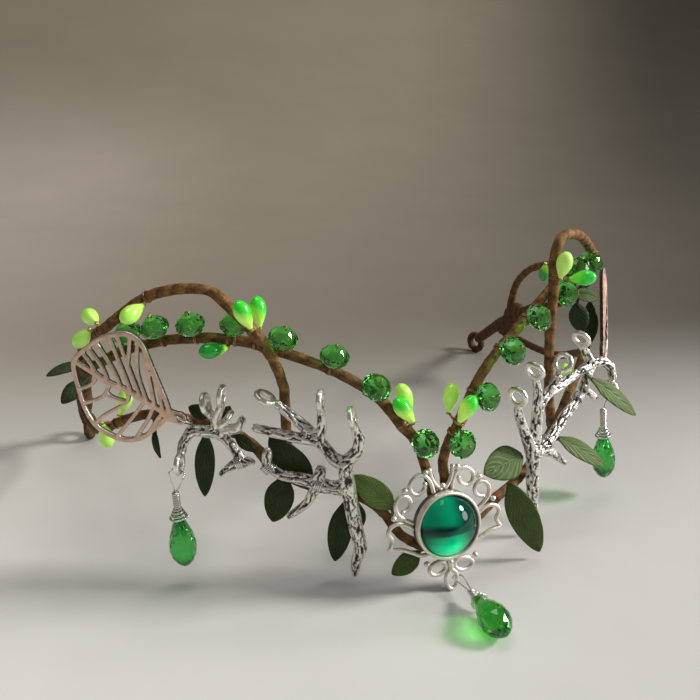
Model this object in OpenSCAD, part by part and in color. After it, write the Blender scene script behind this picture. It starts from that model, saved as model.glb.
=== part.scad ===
// Woodland diadem: wrapped wire bands with a cast setting, cast twigs, filigree
// leaves, fabric leaves, faceted beads, glazed buds and three wrapped drops.
// It stands on the lowest loop of its setting and on the two end eyelets.
// X runs from the wearer's right to left as seen from the front, Y to the back.

/* [Wires] */
// Diameter of a tape-wrapped wire
wire_d = 2.6; // [2.2:0.1:3]
// Diameter of the wrapped tail behind each temple
tail_d = 4.2; // [3.6:0.1:4.8]
// Radius of the hole in each end eyelet
eyelet_r = 2; // [1.5:0.1:2.2]
// Thickness of the wrapped wire round the eyelet
eyelet_wire = 3; // [2.6:0.1:3.2]

/* [Setting] */
// Diameter of the centre cabochon
stone_d = 16; // [15:0.5:16]
// Height of the cabochon's dome above its rim
stone_h = 4.5; // [3:0.5:5]
// Outer diameter of the bezel
bezel_d = 18.4; // [18:0.1:19]
// Depth of the bezel in front of the openwork
bezel_h = 2.6; // [2:0.1:3]
// Diameter of the scroll wires
scroll_d = 1; // [0.8:0.1:1.2]
// Lean of the setting towards the back, in degrees
setting_lean = 15; // [10:1:20]

/* [Beads and buds] */
// Width of a faceted bead
bead_d = 7.8; // [7:0.1:8.4]
// Length of a bead along its hole
bead_h = 5.4; // [5:0.1:6]
// Length of a glazed bud
bud_len = 8.4; // [7:0.1:9]
// Width of a glazed bud
bud_d = 4.3; // [3.6:0.1:4.6]

/* [Drops] */
// Width of a side drop
drop_d = 7.5; // [6.8:0.1:8]
// Length of a side drop
drop_len = 17; // [15:0.5:18]
// Width of the centre drop
centre_drop_d = 8.2; // [7.6:0.1:8.2]
// Length of the centre drop
centre_drop_len = 15; // [13:0.5:16]

/* [Leaves] */
// Thickness of a fabric leaf
leaf_t = 1; // [1:0.1:1.2]
// Thickness of a filigree leaf
filigree_t = 1.2; // [1:0.1:1.5]
// Width of a filigree vein
vein_w = 0.9; // [0.6:0.1:1.1]
// Width of a filigree midrib
rim_w = 1.4; // [1.1:0.1:1.6]

/* [Hidden] */

// Small gap between pieces that rest on each other
gap = 0.3;
wire_r = wire_d / 2;
tail_r = tail_d / 2;
// Steps that a route is smoothed into between two of its points
route_steps = 2;
// Sides of a wrapped wire, of a scroll wire and of a bead
wire_sides = 7;
scroll_sides = 5;
bead_sides = 10;
hull_fn = 6;
// Shift that brings the origin under the middle of the diadem
origin_shift = [0.7, -62, 0];

brown = "#6b4a2a";
silver = "#b9b2a6";
copper = "#c49a80";
glass_green = "#1f7a2e";
emerald = "#067a4c";
lime = "#8ed42a";
olive = "#4c5b2b";

// Routes of the wires, from the setting outwards: points [x, y, z]
band_left_route = [
    [1.8, 2.9, 11.5], [-3.4, 3.6, 11.8], [-8.4, 6.8, 14], [-12, 9.5, 19.4],
    [-16, 11.6, 23.5], [-22, 14.8, 25.8], [-30.5, 19.3, 27], [-38, 23.4, 31],
    [-42, 25.4, 36.5], [-46.5, 27.6, 40.6], [-52, 30.7, 43], [-60, 35.2, 44.3],
    [-68, 41, 44], [-75, 50.3, 38.5], [-79, 62, 31], [-81, 77, 24],
    [-82.5, 93, 18.5], [-83.5, 103, 17], [-83.7, 106.5, 17.5]
];
band_right_route = [
    [2.4, 2.9, 11.5], [8, 3.6, 12.5], [14, 5.9, 15.5], [21, 8.5, 18.6],
    [30, 13.5, 19.2], [39, 19.5, 21], [48.5, 25.8, 25.2], [54, 29.5, 28.2],
    [58, 32.4, 31.2], [63, 36.4, 35.2], [68, 40.8, 39], [73, 46.5, 40],
    [77.5, 57, 35], [80, 70, 29], [81.5, 84, 25.5], [82.6, 98, 23.5],
    [83.4, 108, 22], [83.7, 113, 21.6]
];
bead_wire_left_route = [
    [0.4, 5.2, 20], [-0.3, 7.4, 28], [-1.8, 8.6, 34], [-4.7, 6.9, 41.4],
    [-8.7, 8.1, 46.6], [-14.4, 10.9, 54], [-23.5, 15.6, 60.2], [-35.3, 21.8, 64.8],
    [-42, 26, 66.6], [-48.2, 28.9, 67.4], [-54, 31.7, 67.5], [-61.3, 36, 66.3],
    [-66, 39.3, 64.6], [-72.5, 47, 60.5], [-77, 58, 54], [-80, 73, 47],
    [-81.4, 86, 41.6]
];
bead_wire_right_route = [
    [4.2, 5.2, 20], [4, 7.4, 28], [3.8, 8.6, 33.8], [4.4, 6.6, 40.9],
    [6.7, 5.8, 46.5], [11.5, 6.9, 56], [18.4, 9.8, 62.1], [25.7, 13.2, 65.9],
    [36, 19.8, 70], [42, 23.6, 71.8], [48, 26.8, 72.3], [56, 31.2, 72.6],
    [64, 37, 71.6], [71, 44.5, 68.5], [76.5, 55, 60], [79.5, 67, 51],
    [81, 80, 44.5], [81.4, 86, 41.6]
];
arch_left_route = [
    [-34.7, 22.3, 32], [-35.1, 22.2, 44], [-35.4, 21.3, 51.4], [-36, 20.2, 56.6],
    [-38.2, 20.3, 63.5], [-41.3, 21.6, 69.4], [-47.4, 25.3, 76.9], [-50.4, 27.7, 80],
    [-53, 28.9, 81], [-56, 30.5, 81], [-60, 32.8, 80.4], [-64.8, 35.8, 78.6],
    [-69, 39.6, 75.2], [-73, 44, 70.8], [-76.2, 49.5, 66.4], [-78.2, 56.5, 62.4],
    [-79, 64, 58.8], [-79.6, 73, 55.2], [-80.6, 84, 51], [-81.8, 94, 46], [-82.6, 100, 40.5],
    [-83, 102.5, 34]
];
arch_right_route = [
    [48.2, 24.6, 28.6], [43.5, 20.9, 39.7], [40.9, 19, 52.3], [39.8, 18.3, 60.5],
    [39.4, 18, 71], [39, 17.9, 79.6], [38.8, 17.8, 85], [41.3, 19.4, 88],
    [46.4, 22.6, 87.7], [51.6, 26, 86], [56.8, 30.6, 83.2], [64.2, 37.2, 78],
    [71.5, 43.5, 72], [77.5, 54, 67.5], [81, 70, 63], [82.2, 84, 59],
    [82.6, 97, 53.5], [83, 106, 45.5], [83.2, 109, 38], [83.2, 109.5, 33.5]
];
tail_left_route = [
    [-81.5, 86.5, 41.4], [-82.3, 93, 37], [-83.2, 102, 29.5], [-84, 110.5, 20],
    [-84.2, 114.5, 12.5], [-83.9, 116.6, 8.3]
];
tail_right_route = [
    [81.5, 86.5, 41.4], [82.1, 94.5, 37.8], [83.2, 108, 30.2], [84.7, 122.5, 21],
    [86.5, 135, 12.5], [87.8, 142.2, 7.9]
];

// Eyelets at the ends of the tails: centre and turn about Z of the flat ring
eyelet_left = [-83.2, 118.8, 4.88];
eyelet_left_turn = 72;
eyelet_right = [88.4, 145.5, 4.88];
eyelet_right_turn = 108;

// Setting: centre of the openwork, in the plane of the scrolls
setting_centre = [2.1, 2.4, 18.31];

// Vectors and smooth routes

function unit(v) = v / norm(v);

// Nearest entry of a list, for the ends of a route
function entry(list, i) = list[max(0, min(len(list) - 1, i))];

// Point between b and c of a smooth curve through a, b, c and d
function curve(a, b, c, d, t) =
    0.5 * (2 * b + (c - a) * t + (2 * a - 5 * b + 4 * c - d) * t * t
        + (3 * b - a - 3 * c + d) * t * t * t);

// Smooth route through the points, with steps pieces between two of them
function smooth(points, steps) = concat(
    [for (i = [0 : len(points) - 2], k = [0 : steps - 1])
        curve(entry(points, i - 1), points[i], points[i + 1], entry(points, i + 2), k / steps)],
    [points[len(points) - 1]]
);

function direction(route, i) = unit(entry(route, i + 1) - entry(route, i - 1));

// Side vector of each ring, carried along the route without twist
function side_vectors(route, first) = [
    for (i = 0, u = unit(first - direction(route, 0) * (first * direction(route, 0)));
        i < len(route);
        i = i + 1,
        u = unit(u - direction(route, i) * (u * direction(route, i)))) u
];

// Faces between rings of equal size
function side_faces(rings, size) = [
    for (i = [0 : rings - 2], k = [0 : size - 1]) each [
        [i * size + k, (i + 1) * size + (k + 1) % size, i * size + (k + 1) % size],
        [i * size + k, (i + 1) * size + k, (i + 1) * size + (k + 1) % size]
    ]
];

// The same, closed at both ends
function skin_faces(rings, size) = concat(
    [[for (k = [0 : size - 1]) k]],
    side_faces(rings, size),
    [[for (k = [size - 1 : -1 : 0]) (rings - 1) * size + k]]
);

// Round wire of radius r along a route; first is any vector across its start
module wire(route, r, sides, first = [0, -1, 0]) {
    u = side_vectors(route, first);
    rings = [for (i = [0 : len(route) - 1])
        let (v = cross(direction(route, i), u[i]))
        for (k = [0 : sides - 1])
            route[i] + r * (cos(360 * k / sides) * u[i] + sin(360 * k / sides) * v)];
    polyhedron(rings, skin_faces(len(route), sides), convexity = 10);
}

module wrapped_wire(points) {
    color(brown) wire(smooth(points, route_steps), wire_r, wire_sides);
}

// Turns +Z to the direction d
module along(d) {
    length = norm(d);
    rotate([0, acos(d[2] / length), atan2(d[1], d[0])]) children();
}

module place() {
    translate(origin_shift) children();
}

// Wires of the bands

module band_left() place() wrapped_wire(band_left_route);
module band_right() place() wrapped_wire(band_right_route);
module bead_wire_left() place() wrapped_wire(bead_wire_left_route);
module bead_wire_right() place() wrapped_wire(bead_wire_right_route);
module arch_left() place() wrapped_wire(arch_left_route);
module arch_right() place() wrapped_wire(arch_right_route);

// Ring of wrapped wire with a short cylindrical land in its hole
module eyelet(centre, turn) {
    land = 0.12;
    ring_r = eyelet_wire / 2;
    translate(centre)
        rotate([90, 0, turn])
            rotate_extrude($fn = 48)
                difference() {
                    translate([eyelet_r - land + ring_r, 0])
                        circle(r = ring_r, $fn = 24);
                    translate([0, -ring_r])
                        square([eyelet_r, eyelet_wire]);
                }
}

module tail(points, centre, turn) {
    color(brown)
        union() {
            wire(smooth(points, route_steps), tail_r, wire_sides);
            eyelet(centre, turn);
        }
}

module tail_left() place() tail(tail_left_route, eyelet_left, eyelet_left_turn);
module tail_right() place() tail(tail_right_route, eyelet_right, eyelet_right_turn);

// Setting, drawn in its own plane: x to the right, y up, z to the front

bezel_r = bezel_d / 2;
scroll_r = scroll_d / 2;
bezel_wall = 0.9;
bezel_floor = 1;

// Wires of the right half, each from the bezel outwards: points [x, y]
vee_wire = [[0.4, 9.2], [1.8, 10.7], [2.8, 12.6], [3.3, 15]];
first_scroll = [
    [2.6, 8.6], [3.1, 11.1], [4.4, 13.4], [6.9, 14.1], [9.1, 12.2], [8.7, 9.9], [7, 9.2],
    [5.3, 10.2], [4.9, 11.6]
];
second_scroll = [
    [8.8, 1.6], [11.2, 3.1], [13.2, 5], [13.6, 7.5], [12.3, 9.2], [10.4, 9.2], [9.3, 7.7],
    [9.9, 5.9], [11.6, 5.2]
];
third_scroll = [
    [8.8, 0], [11.4, 1.8], [13.5, 2.4], [15.6, 1.6], [16.1, 0], [15.2, -1.6], [15.6, -3],
    [16.1, -4.2], [13, -4.7], [10.2, -6], [7.6, -7.4], [4.8, -7.4]
];
// Granules: x, y, radius and the point [x, y] where it is soldered on
granules = [
    [4.6, 14.7, 0.8, 3.9, 13.4], [10.8, 10.9, 0.8, 10.5, 9.5], [14.4, 4.1, 0.8, 13.4, 4.8]
];
lower_granules = [[0, 10.6, 0.7, 0, 9], [8, -10.4, 0.8, 6.9, -11.3], [-6.2, -10, 0.8, -4.9, -10.9]];
// Petals of the lower bow: centre x, centre y, half length, half width, angle
petals = [[4.5, -12.2, 2.7, 1.7, -9], [-3.1, -12, 2.4, 1.7, 188], [0.7, -15.8, 2.65, 1.65, -90]];
petal_steps = 10;

function flat(points) = [for (p = points) [p[0], p[1], 0]];

module in_setting() {
    translate(setting_centre) rotate([90 - setting_lean, 0, 0]) children();
}

module scroll(points, steps) {
    wire(flat(smooth(points, steps)), scroll_r, scroll_sides, [0, 0, 1]);
}

// A petal starts at its inner end
module petal(p) {
    route = [for (k = [0 : petal_steps]) let (a = 180 + 360 * k / petal_steps)
        [p[0] + p[2] * cos(a) * cos(p[4]) - p[3] * sin(a) * sin(p[4]),
         p[1] + p[2] * cos(a) * sin(p[4]) + p[3] * sin(a) * cos(p[4]), 0]];
    wire(route, scroll_r, scroll_sides, [0, 0, 1]);
}

module granule(g) {
    hull() {
        translate([g[0], g[1], 0.3]) sphere(g[2], $fn = hull_fn);
        translate([g[3], g[4], 0]) sphere(0.4, $fn = 4);
    }
}

module half_scrollwork() {
    scroll(vee_wire, 2);
    scroll(first_scroll, 2);
    scroll(second_scroll, 2);
    scroll(third_scroll, 1);
    for (g = granules) granule(g);
}

module setting() place() color(silver) in_setting() {
    difference() {
        translate([0, 0, -bezel_floor / 2])
            cylinder(h = bezel_h + bezel_floor, r = bezel_r, $fn = 28);
        translate([0, 0, bezel_floor / 2])
            cylinder(h = bezel_h + 1, r = bezel_r - bezel_wall, $fn = 28);
    }
    half_scrollwork();
    mirror([1, 0, 0]) half_scrollwork();
    for (g = lower_granules) granule(g);
    for (p = petals) petal(p);
    hull() {
        translate([0.4, -8.8, 0]) sphere(0.9, $fn = hull_fn);
        translate([0.7, -13, 0]) sphere(1, $fn = hull_fn);
    }
}

// Dome of the stone over a low straight girdle
module cabochon() place() color(emerald) in_setting() {
    girdle = bezel_h - bezel_floor / 2 - gap;
    r = stone_d / 2;
    dome_r = (r * r + stone_h * stone_h) / (2 * stone_h);
    dome_angle = asin(r / dome_r);
    dome = [for (k = [0 : dome_steps]) let (a = dome_angle * (1 - k / dome_steps))
        [dome_r * sin(a), girdle + stone_h - dome_r * (1 - cos(a))]];
    translate([0, 0, bezel_floor / 2 + gap])
        rotate_extrude($fn = 64) polygon(concat([[0, 0], [r, 0]], dome));
}
dome_steps = 8;

// Cast twigs: joints [x, y, z, radius] and limbs [from joint, to joint]

twig_left_inner_joints = [
    [-20.6, 9.3, 2.8, 0.9], [-20.4, 9.4, 6.5, 1.5], [-19.2, 8.8, 11.2, 1.9], [-20.2, 9.3, 16.5, 2],
    [-21.3, 10, 23, 2], [-22.3, 10.4, 29.6, 2.1], [-23, 10.8, 36.5, 2], [-19.9, 9.2, 40.8, 1.7],
    [-19.7, 9.1, 44, 1.5], [-20.8, 9.7, 47, 1.2], [-25.4, 12, 37.6, 1.8], [-29, 14, 42.9, 1.7],
    [-28.1, 13.5, 46.6, 1.3], [-28.2, 13.6, 50.7, 1.1], [-31.7, 15.4, 46.1, 1.6], [-34.8, 16.8, 49.2, 1.4],
    [-38.2, 18.4, 52.4, 1.2], [-34, 15.8, 43.6, 1.4], [-40.4, 18.8, 45, 1.3], [-43.6, 20.2, 45.9, 1.1],
    [-26.4, 12.6, 29.3, 1.8], [-29.2, 14.1, 30.3, 1.8], [-33.4, 16, 31.4, 1.6], [-38.1, 18, 32.4, 1.4],
    [-41.4, 19.6, 34.4, 1.3], [-41, 19.4, 38.6, 1.4], [-28.7, 13.4, 34.2, 1.6], [-32.1, 15, 24.1, 1.3],
    [-36.4, 17, 20, 0.9]
];
twig_left_inner_limbs = [
    [0, 1], [1, 2], [2, 3], [3, 4], [4, 5], [5, 6], [6, 7], [7, 8], [8, 9], [6, 10], [10, 11],
    [11, 12], [12, 13], [11, 14], [14, 15], [15, 16], [11, 17], [17, 18], [18, 19], [5, 20],
    [20, 21], [21, 22], [22, 23], [23, 24], [24, 25], [21, 26], [21, 27], [27, 28]
];
// Rings at the twig's tips: centre [x, y, z] and the number of the joint below it
twig_left_inner_rings = [[-21.4, 10, 49.8, 9], [-28.3, 13.8, 53.9, 13], [-40.8, 20, 54, 16]];

twig_left_outer_joints = [
    [-52.6, 26, 43.6, 1.7], [-54.5, 27, 43.4, 1.6], [-58.7, 28, 44, 1.5], [-60.8, 28, 41, 1.4],
    [-61.8, 26.6, 38.8, 1.2], [-47.6, 23, 45, 1.3], [-52.6, 25.6, 47, 1.3], [-51.2, 24.6, 51, 1.1],
    [-54, 26.6, 48.8, 1.2], [-50.8, 24.6, 42.2, 1.5], [-49, 23.6, 39.6, 1.4], [-47.3, 22.6, 36.2, 1.5],
    [-52.2, 25, 31.6, 0.9], [-45, 21.2, 35.6, 1.2], [-46.4, 22.4, 47.6, 1.1]
];
twig_left_outer_limbs = [
    [0, 1], [1, 2], [2, 3], [3, 4], [0, 5], [0, 6], [6, 7], [6, 8], [0, 9], [9, 10], [10, 11],
    [11, 12], [11, 13], [5, 14]
];
twig_left_outer_rings = [
    [-50.8, 24.8, 54, 7], [-54.7, 26.6, 51.6, 8], [-50.4, 23.6, 47.6, 0], [-62.7, 25, 36.6, 4]
];

twig_right_inner_joints = [
    [36.6, 11.6, 4.6, 0.8], [35.8, 12, 9, 1.3], [35, 12.2, 15, 1.9], [34.2, 12, 20.9, 2],
    [33.9, 11.9, 26.6, 2.1], [30.9, 10.1, 32.5, 1.9], [27.8, 8.4, 38.2, 1.6], [25.1, 7, 43.2, 1.4],
    [23.9, 6.4, 46.8, 1.2], [33.8, 11.8, 36, 1.8], [33.8, 11.8, 42.1, 1.6], [32.9, 11.3, 48, 1.3],
    [31.4, 10.4, 51.6, 1.1], [37.6, 13.8, 45.1, 1.5], [41, 14.2, 49.9, 1.2], [37.3, 13.6, 28, 1.8],
    [42.1, 16.2, 29.4, 1.7], [47.6, 19.4, 32.8, 1.6], [53, 21.8, 35.8, 1.5], [55, 22.6, 37.4, 1.5],
    [44, 17.4, 23.4, 1.3], [51.6, 21, 16.6, 0.8], [40.8, 15.6, 45.1, 1.5], [48, 19.4, 45.4, 1.4],
    [53, 22.2, 45.6, 1.3]
];
twig_right_inner_limbs = [
    [0, 1], [1, 2], [2, 3], [3, 4], [4, 5], [5, 6], [6, 7], [7, 8], [4, 9], [9, 10], [10, 11],
    [11, 12], [10, 13], [13, 14], [4, 15], [15, 16], [16, 17], [17, 18], [18, 19], [15, 20],
    [20, 21], [13, 22], [22, 23], [23, 24]
];
twig_right_inner_rings = [[23.4, 6.1, 50.1, 8], [30.3, 9.7, 55, 12], [42.7, 15, 53.4, 14]];

twig_right_outer_joints = [
    [62.2, 28, 44.9, 1.8], [58.8, 26.5, 49.6, 1.4], [56.8, 25.8, 52.2, 1.2], [66.2, 28, 45.2, 1.6],
    [69.4, 27.8, 43.2, 1.5], [69.7, 26.5, 39.8, 1.3], [60.2, 26.5, 41.9, 1.5], [58.6, 25.5, 38, 1.5],
    [63.6, 25.4, 34.6, 0.9], [57, 25.4, 44.6, 1.4]
];
twig_right_outer_limbs = [
    [0, 1], [1, 2], [0, 3], [3, 4], [4, 5], [0, 6], [6, 7], [7, 8], [0, 9]
];
twig_right_outer_rings = [[55.6, 25.3, 55, 2], [67.6, 25.2, 36.9, 5]];

ring_mid_r = 2.4;
ring_wire_r = 0.75;
ring_steps = 10;

module limb(a, b) {
    hull() {
        translate([a[0], a[1], a[2]]) sphere(a[3], $fn = hull_fn);
        translate([b[0], b[1], b[2]]) sphere(b[3], $fn = hull_fn);
    }
}

// A ring lies in the plane of its limb and the way out of the diadem
function ring_centre(ring) = [ring[0], ring[1], ring[2]];
function limb_way(ring, joint) = unit(ring_centre(ring) - [joint[0], joint[1], joint[2]]);
function ring_across(ring, joint, side) =
    let (out = [0.47 * side, -0.88, 0], way = limb_way(ring, joint)) unit(out - way * (out * way));
// Middle of the ring's wire at the point farthest from its limb
function ring_end(ring, joint) = ring_centre(ring) + ring_mid_r * limb_way(ring, joint);

module tip_ring(ring, joint, side) {
    way = limb_way(ring, joint);
    across = ring_across(ring, joint, side);
    route = [for (k = [0 : ring_steps]) let (a = 360 * k / ring_steps - 90)
        ring_centre(ring) + ring_mid_r * (cos(a) * across + sin(a) * way)];
    wire(route, ring_wire_r, scroll_sides, cross(across, way));
}

module twig(joints, limbs, rings, side) {
    color(silver)
        union() {
            for (l = limbs) limb(joints[l[0]], joints[l[1]]);
            for (r = rings) tip_ring(r, joints[r[3]], side);
        }
}

module twig_left_inner() place()
    twig(twig_left_inner_joints, twig_left_inner_limbs, twig_left_inner_rings, -1);
module twig_left_outer() place()
    twig(twig_left_outer_joints, twig_left_outer_limbs, twig_left_outer_rings, -1);
module twig_right_inner() place()
    twig(twig_right_inner_joints, twig_right_inner_limbs, twig_right_inner_rings, 1);
module twig_right_outer() place()
    twig(twig_right_outer_joints, twig_right_outer_limbs, twig_right_outer_rings, 1);

// Filigree leaves, drawn flat: points [x away from the stem's eye, y up]

filigree_edge = [
    [1.4, 0.4], [1.7, 3.2], [3.6, 9], [5.4, 14.2], [6.9, 18.8], [8.9, 21.2], [11.8, 22.3],
    [15.5, 21.6], [19.4, 20.2], [23.2, 17.6], [26.2, 15.2], [28, 13.2], [28.6, 11], [28.4, 7.9],
    [27.8, 3.9], [27, -0.5], [24.6, -5.4], [20.8, -8], [15.5, -9.2], [10.4, -7.8], [6.7, -4.9],
    [3.4, -1.9]
];
filigree_middle = [15.6, 6.4];
rim_share = 0.915;
midrib = [[1, 0.4], [3, 1], [7.9, 3.3], [13.6, 6.2], [18, 7.5], [21.5, 9.4], [27.6, 12.8]];
// Side veins above the midrib and below it, each from the midrib to the edge
veins = [
    [[21.6, 9.5], [23, 12.6], [25.2, 15.6]],
    [[18.6, 7.9], [19.6, 11.6], [22.8, 16.4]],
    [[15, 6.8], [16.5, 11.3], [20.9, 19.2]],
    [[12.2, 5.6], [13.4, 10], [16.6, 20]],
    [[9.6, 4.2], [12.3, 13.4], [14.4, 20.8]],
    [[12.3, 13.4], [11.4, 17.4], [10.8, 21]],
    [[7.9, 3.3], [9.8, 11.4], [8.9, 19.6]],
    [[5.9, 2.4], [6.6, 10], [7.4, 17]],
    [[3.6, 1.6], [4.6, 7], [5.6, 12.4]],
    [[21.5, 9.4], [23.4, 6.6], [27.8, 4.4]],
    [[18, 7.5], [20.6, 3.4], [26.6, 0.6]],
    [[13.7, 6.3], [13.6, 2.8], [21.2, -2.2], [23.8, -5]],
    [[13.6, 2.8], [17.6, 3.4], [19.8, 5]],
    [[8.6, 3.6], [12.5, -1.4], [18, -8]],
    [[6.2, 2.4], [8.4, -1.9], [12.6, -7.8]],
    [[3.7, 1.2], [6.4, -2.4], [8.4, -5.6]]
];
eye_r = 1.7;
eye_hole_r = 0.9;

// Flat strip of even width along a route in the plane
module ribbon(points, w) {
    route = smooth(points, 3);
    last = len(route) - 1;
    function side(i, s) = let (d = direction(route, i)) route[i] + s * w / 2 * [-d[1], d[0]];
    polygon(concat([for (i = [0 : last]) side(i, 1)], [for (i = [last : -1 : 0]) side(i, -1)]));
}

module filigree() {
    outline = smooth(concat(filigree_edge, [filigree_edge[0]]), 2);
    linear_extrude(filigree_t)
        difference() {
            polygon(outline);
            difference() {
                polygon([for (q = outline) filigree_middle + rim_share * (q - filigree_middle)]);
                ribbon(midrib, rim_w);
                for (v = veins) ribbon(v, vein_w);
            }
        }
    difference() {
        union() {
            linear_extrude(filigree_t)
                polygon([[-1, 1.6], [2.2, 2.2], [4, 1.6], [3.4, -1.2], [-1, -1.6]]);
            translate([-1, 0, 0]) cylinder(h = filigree_t, r = eye_r, $fn = 32);
        }
        translate([-1, 0, -1]) cylinder(h = filigree_t + 2, r = eye_hole_r, $fn = 32);
    }
}

// Stem point of each filigree leaf and its turn about Z
filigree_left_stem = [-61.5, 29, 48];
filigree_left_turn = 145;
filigree_right_stem = [67.6, 31.6, 47.6];
filigree_right_turn = 51;
// Lean of the right leaf towards the head, in degrees
filigree_right_lean = 8;

module filigree_left() place() color(copper)
    translate(filigree_left_stem) rotate([90, 0, filigree_left_turn])
        translate([0, 0, -filigree_t]) filigree();
module filigree_right() place() color(copper)
    translate(filigree_right_stem)
        rotate([90 - filigree_right_lean, 0, filigree_right_turn]) filigree();

// Drops, drawn hanging from the origin, and the wires that hold them

// Briolette: share of the length down from the top and share of the radius
briolette = [[0, 0.2], [0.12, 0.34], [0.36, 0.74], [0.62, 1], [0.84, 0.8], [0.96, 0.4], [1, 0.16]];
flare_h = 3.4;
flare_r = 2.3;
neck_r = 0.75;
// How far the drop's top stands below the end of the wound neck
drop_seat = 1.2;

module drop(d, length, neck) {
    color(glass_green)
        translate([0, 0, -neck - drop_seat])
            rotate_extrude($fn = bead_sides)
                polygon(concat([[0, 0]], [for (b = briolette) [b[1] * d / 2, -b[0] * length]],
                    [[0, -length]]));
}

// Wound wire: a slim neck in ridges that flares over the drop's top
module cap(d, neck) {
    pitch = 0.8;
    ridge_r = 0.3;
    bore = 0.2 * d / 2 + gap;
    mouth = 0.38 * d / 2 + gap;
    rotate_extrude($fn = 32)
        difference() {
            union() {
                polygon([[0, 0], [neck_r, 0], [neck_r, -neck], [flare_r, -neck - flare_h],
                    [0, -neck - flare_h]]);
                for (z = [pitch / 2 : pitch : neck])
                    translate([neck_r, -z]) circle(r = ridge_r, $fn = 12);
                for (k = [0.5 : 2.5])
                    translate([neck_r + (flare_r - neck_r) * k / 3, -neck - flare_h * k / 3])
                        circle(r = 1.5 * ridge_r, $fn = 16);
            }
            polygon([[0, gap - neck - drop_seat], [bore, gap - neck - drop_seat],
                [mouth, -neck - flare_h], [mouth, -neck - flare_h - 1], [0, -neck - flare_h - 1]]);
        }
}

// Each drop hangs from the top of its wound neck towards its lowest point
module hung(top, low) {
    translate(top) along(top - low) children();
}

// Teardrop loop of thin wire from a drop's top round a bar, whose middle is at hook
// and whose own direction is through; r is the half width of the loop
loop_wire_r = 0.32;
leg_half = 0.37;
function loop_route(top, hook, through, bar_r, r) =
    let (rise = hook - top, up = unit(rise - through * (rise * through)), side = cross(through, up),
        middle = hook + up * (bar_r + gap + loop_wire_r - r))
    concat(
        [top + leg_half * side - 0.5 * up, top + leg_half * side + 0.3 * up],
        [for (a = [110 : -44 : -110]) middle + r * (sin(a) * side + cos(a) * up)],
        [top - leg_half * side + 0.3 * up, top - leg_half * side - 0.5 * up]);

module drop_wire(d, top, low, neck, hook, through, bar_r, r) {
    color(silver)
        union() {
            hung(top, low) cap(d, neck);
            wire(smooth(loop_route(top, hook, through, bar_r, r), 2), loop_wire_r, scroll_sides,
                through);
        }
}

drop_left_top = [-64.4, 25, 28.6];
drop_left_low = [-63.4, 25, 5.2];
drop_left_neck = 4.8;
drop_left_ring = twig_left_outer_rings[3];
drop_left_joint = twig_left_outer_joints[4];
drop_right_top = [66, 24.4, 30.8];
drop_right_low = [69.2, 23.8, 6.2];
drop_right_neck = 6.4;
drop_right_ring = twig_right_outer_rings[1];
drop_right_joint = twig_right_outer_joints[5];
drop_centre_top = [5, -8.4, 3.6];
drop_centre_low = [5.2, -26.6, 4.4];
drop_centre_neck = 1.6;
// Wire of the bottom petal of the setting, at its right
drop_centre_hook = setting_centre
    + [2.35, -15.6 * sin(setting_lean), -15.6 * cos(setting_lean)];

module drop_left() place()
    hung(drop_left_top, drop_left_low) drop(drop_d, drop_len, drop_left_neck);
module drop_left_wire() place()
    drop_wire(drop_d, drop_left_top, drop_left_low, drop_left_neck,
        ring_end(drop_left_ring, drop_left_joint), ring_across(drop_left_ring, drop_left_joint, -1),
        ring_wire_r, 2);
module drop_right() place()
    hung(drop_right_top, drop_right_low) drop(drop_d, drop_len, drop_right_neck);
module drop_right_wire() place()
    drop_wire(drop_d, drop_right_top, drop_right_low, drop_right_neck,
        ring_end(drop_right_ring, drop_right_joint),
        ring_across(drop_right_ring, drop_right_joint, 1), ring_wire_r, 1.6);
module drop_centre() place()
    hung(drop_centre_top, drop_centre_low)
        drop(centre_drop_d, centre_drop_len, drop_centre_neck);
module drop_centre_wire() place()
    drop_wire(centre_drop_d, drop_centre_top, drop_centre_low, drop_centre_neck,
        drop_centre_hook, [0, sin(setting_lean), cos(setting_lean)], scroll_r, 1.4);

// Seats on the wires for beads, buds and leaves

band_left_seats = smooth(band_left_route, 8);
band_right_seats = smooth(band_right_route, 8);
bead_left_seats = smooth(bead_wire_left_route, 8);
bead_right_seats = smooth(bead_wire_right_route, 8);
arch_left_seats = smooth(arch_left_route, 8);
arch_right_seats = smooth(arch_right_route, 8);
// A limb of the outer right twig that carries a leaf, a little thicker than a wire
twig_seats = smooth([[60.2, 26.5, 42.3], [58.6, 25.5, 38.3]], 8);
twig_seat_more = 0.4;

function nearest(route, p) =
    let (d = [for (q = route) norm(q - p)])
    route[search(min(d), d)[0]];

// Point p, moved out from the wire so that a piece there keeps clear of it
function clear_of(route, p, more) =
    let (seat = nearest(route, p), way = unit(p - seat))
    seat + way * max(norm(p - seat), wire_r + gap + more);

// Point on the way from the wire to p, just clear of the wire
function foot_of(route, p, more) =
    let (seat = nearest(route, p)) seat + unit(p - seat) * (wire_r + gap + more);

// Thin stalk from just above the wire to a piece
module stalk(route, p) {
    foot = foot_of(route, p, 0);
    translate(foot) along(p - foot)
        cylinder(h = norm(p - foot) + 0.3, r = stalk_r, $fn = 16);
}
stalk_r = 0.35;

// Beads: about the middle [x, y, z]; each stands off its wire on its own hole

bead_left_places = [
    [-4.5, 2.4, 43.3], [-15.7, 8, 58.1], [-24.3, 14.5, 64.9], [-35.6, 20.3, 69.1],
    [-46, 27.7, 71.1], [-56.3, 31.1, 71.5], [-64.5, 36.2, 70], [-70.3, 41.8, 66.4]
];
bead_right_places = [
    [5.5, 1.6, 41.7], [12.2, 2.2, 53.6], [20.5, 5.7, 63.6], [31.3, 11.6, 69.3],
    [44.6, 20.3, 71.7], [52.8, 26.7, 76.4], [59.9, 30.8, 76.2]
];
// How far a bead's hole turns from the way off the wire towards upright
bead_upright = 0.5;

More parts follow.
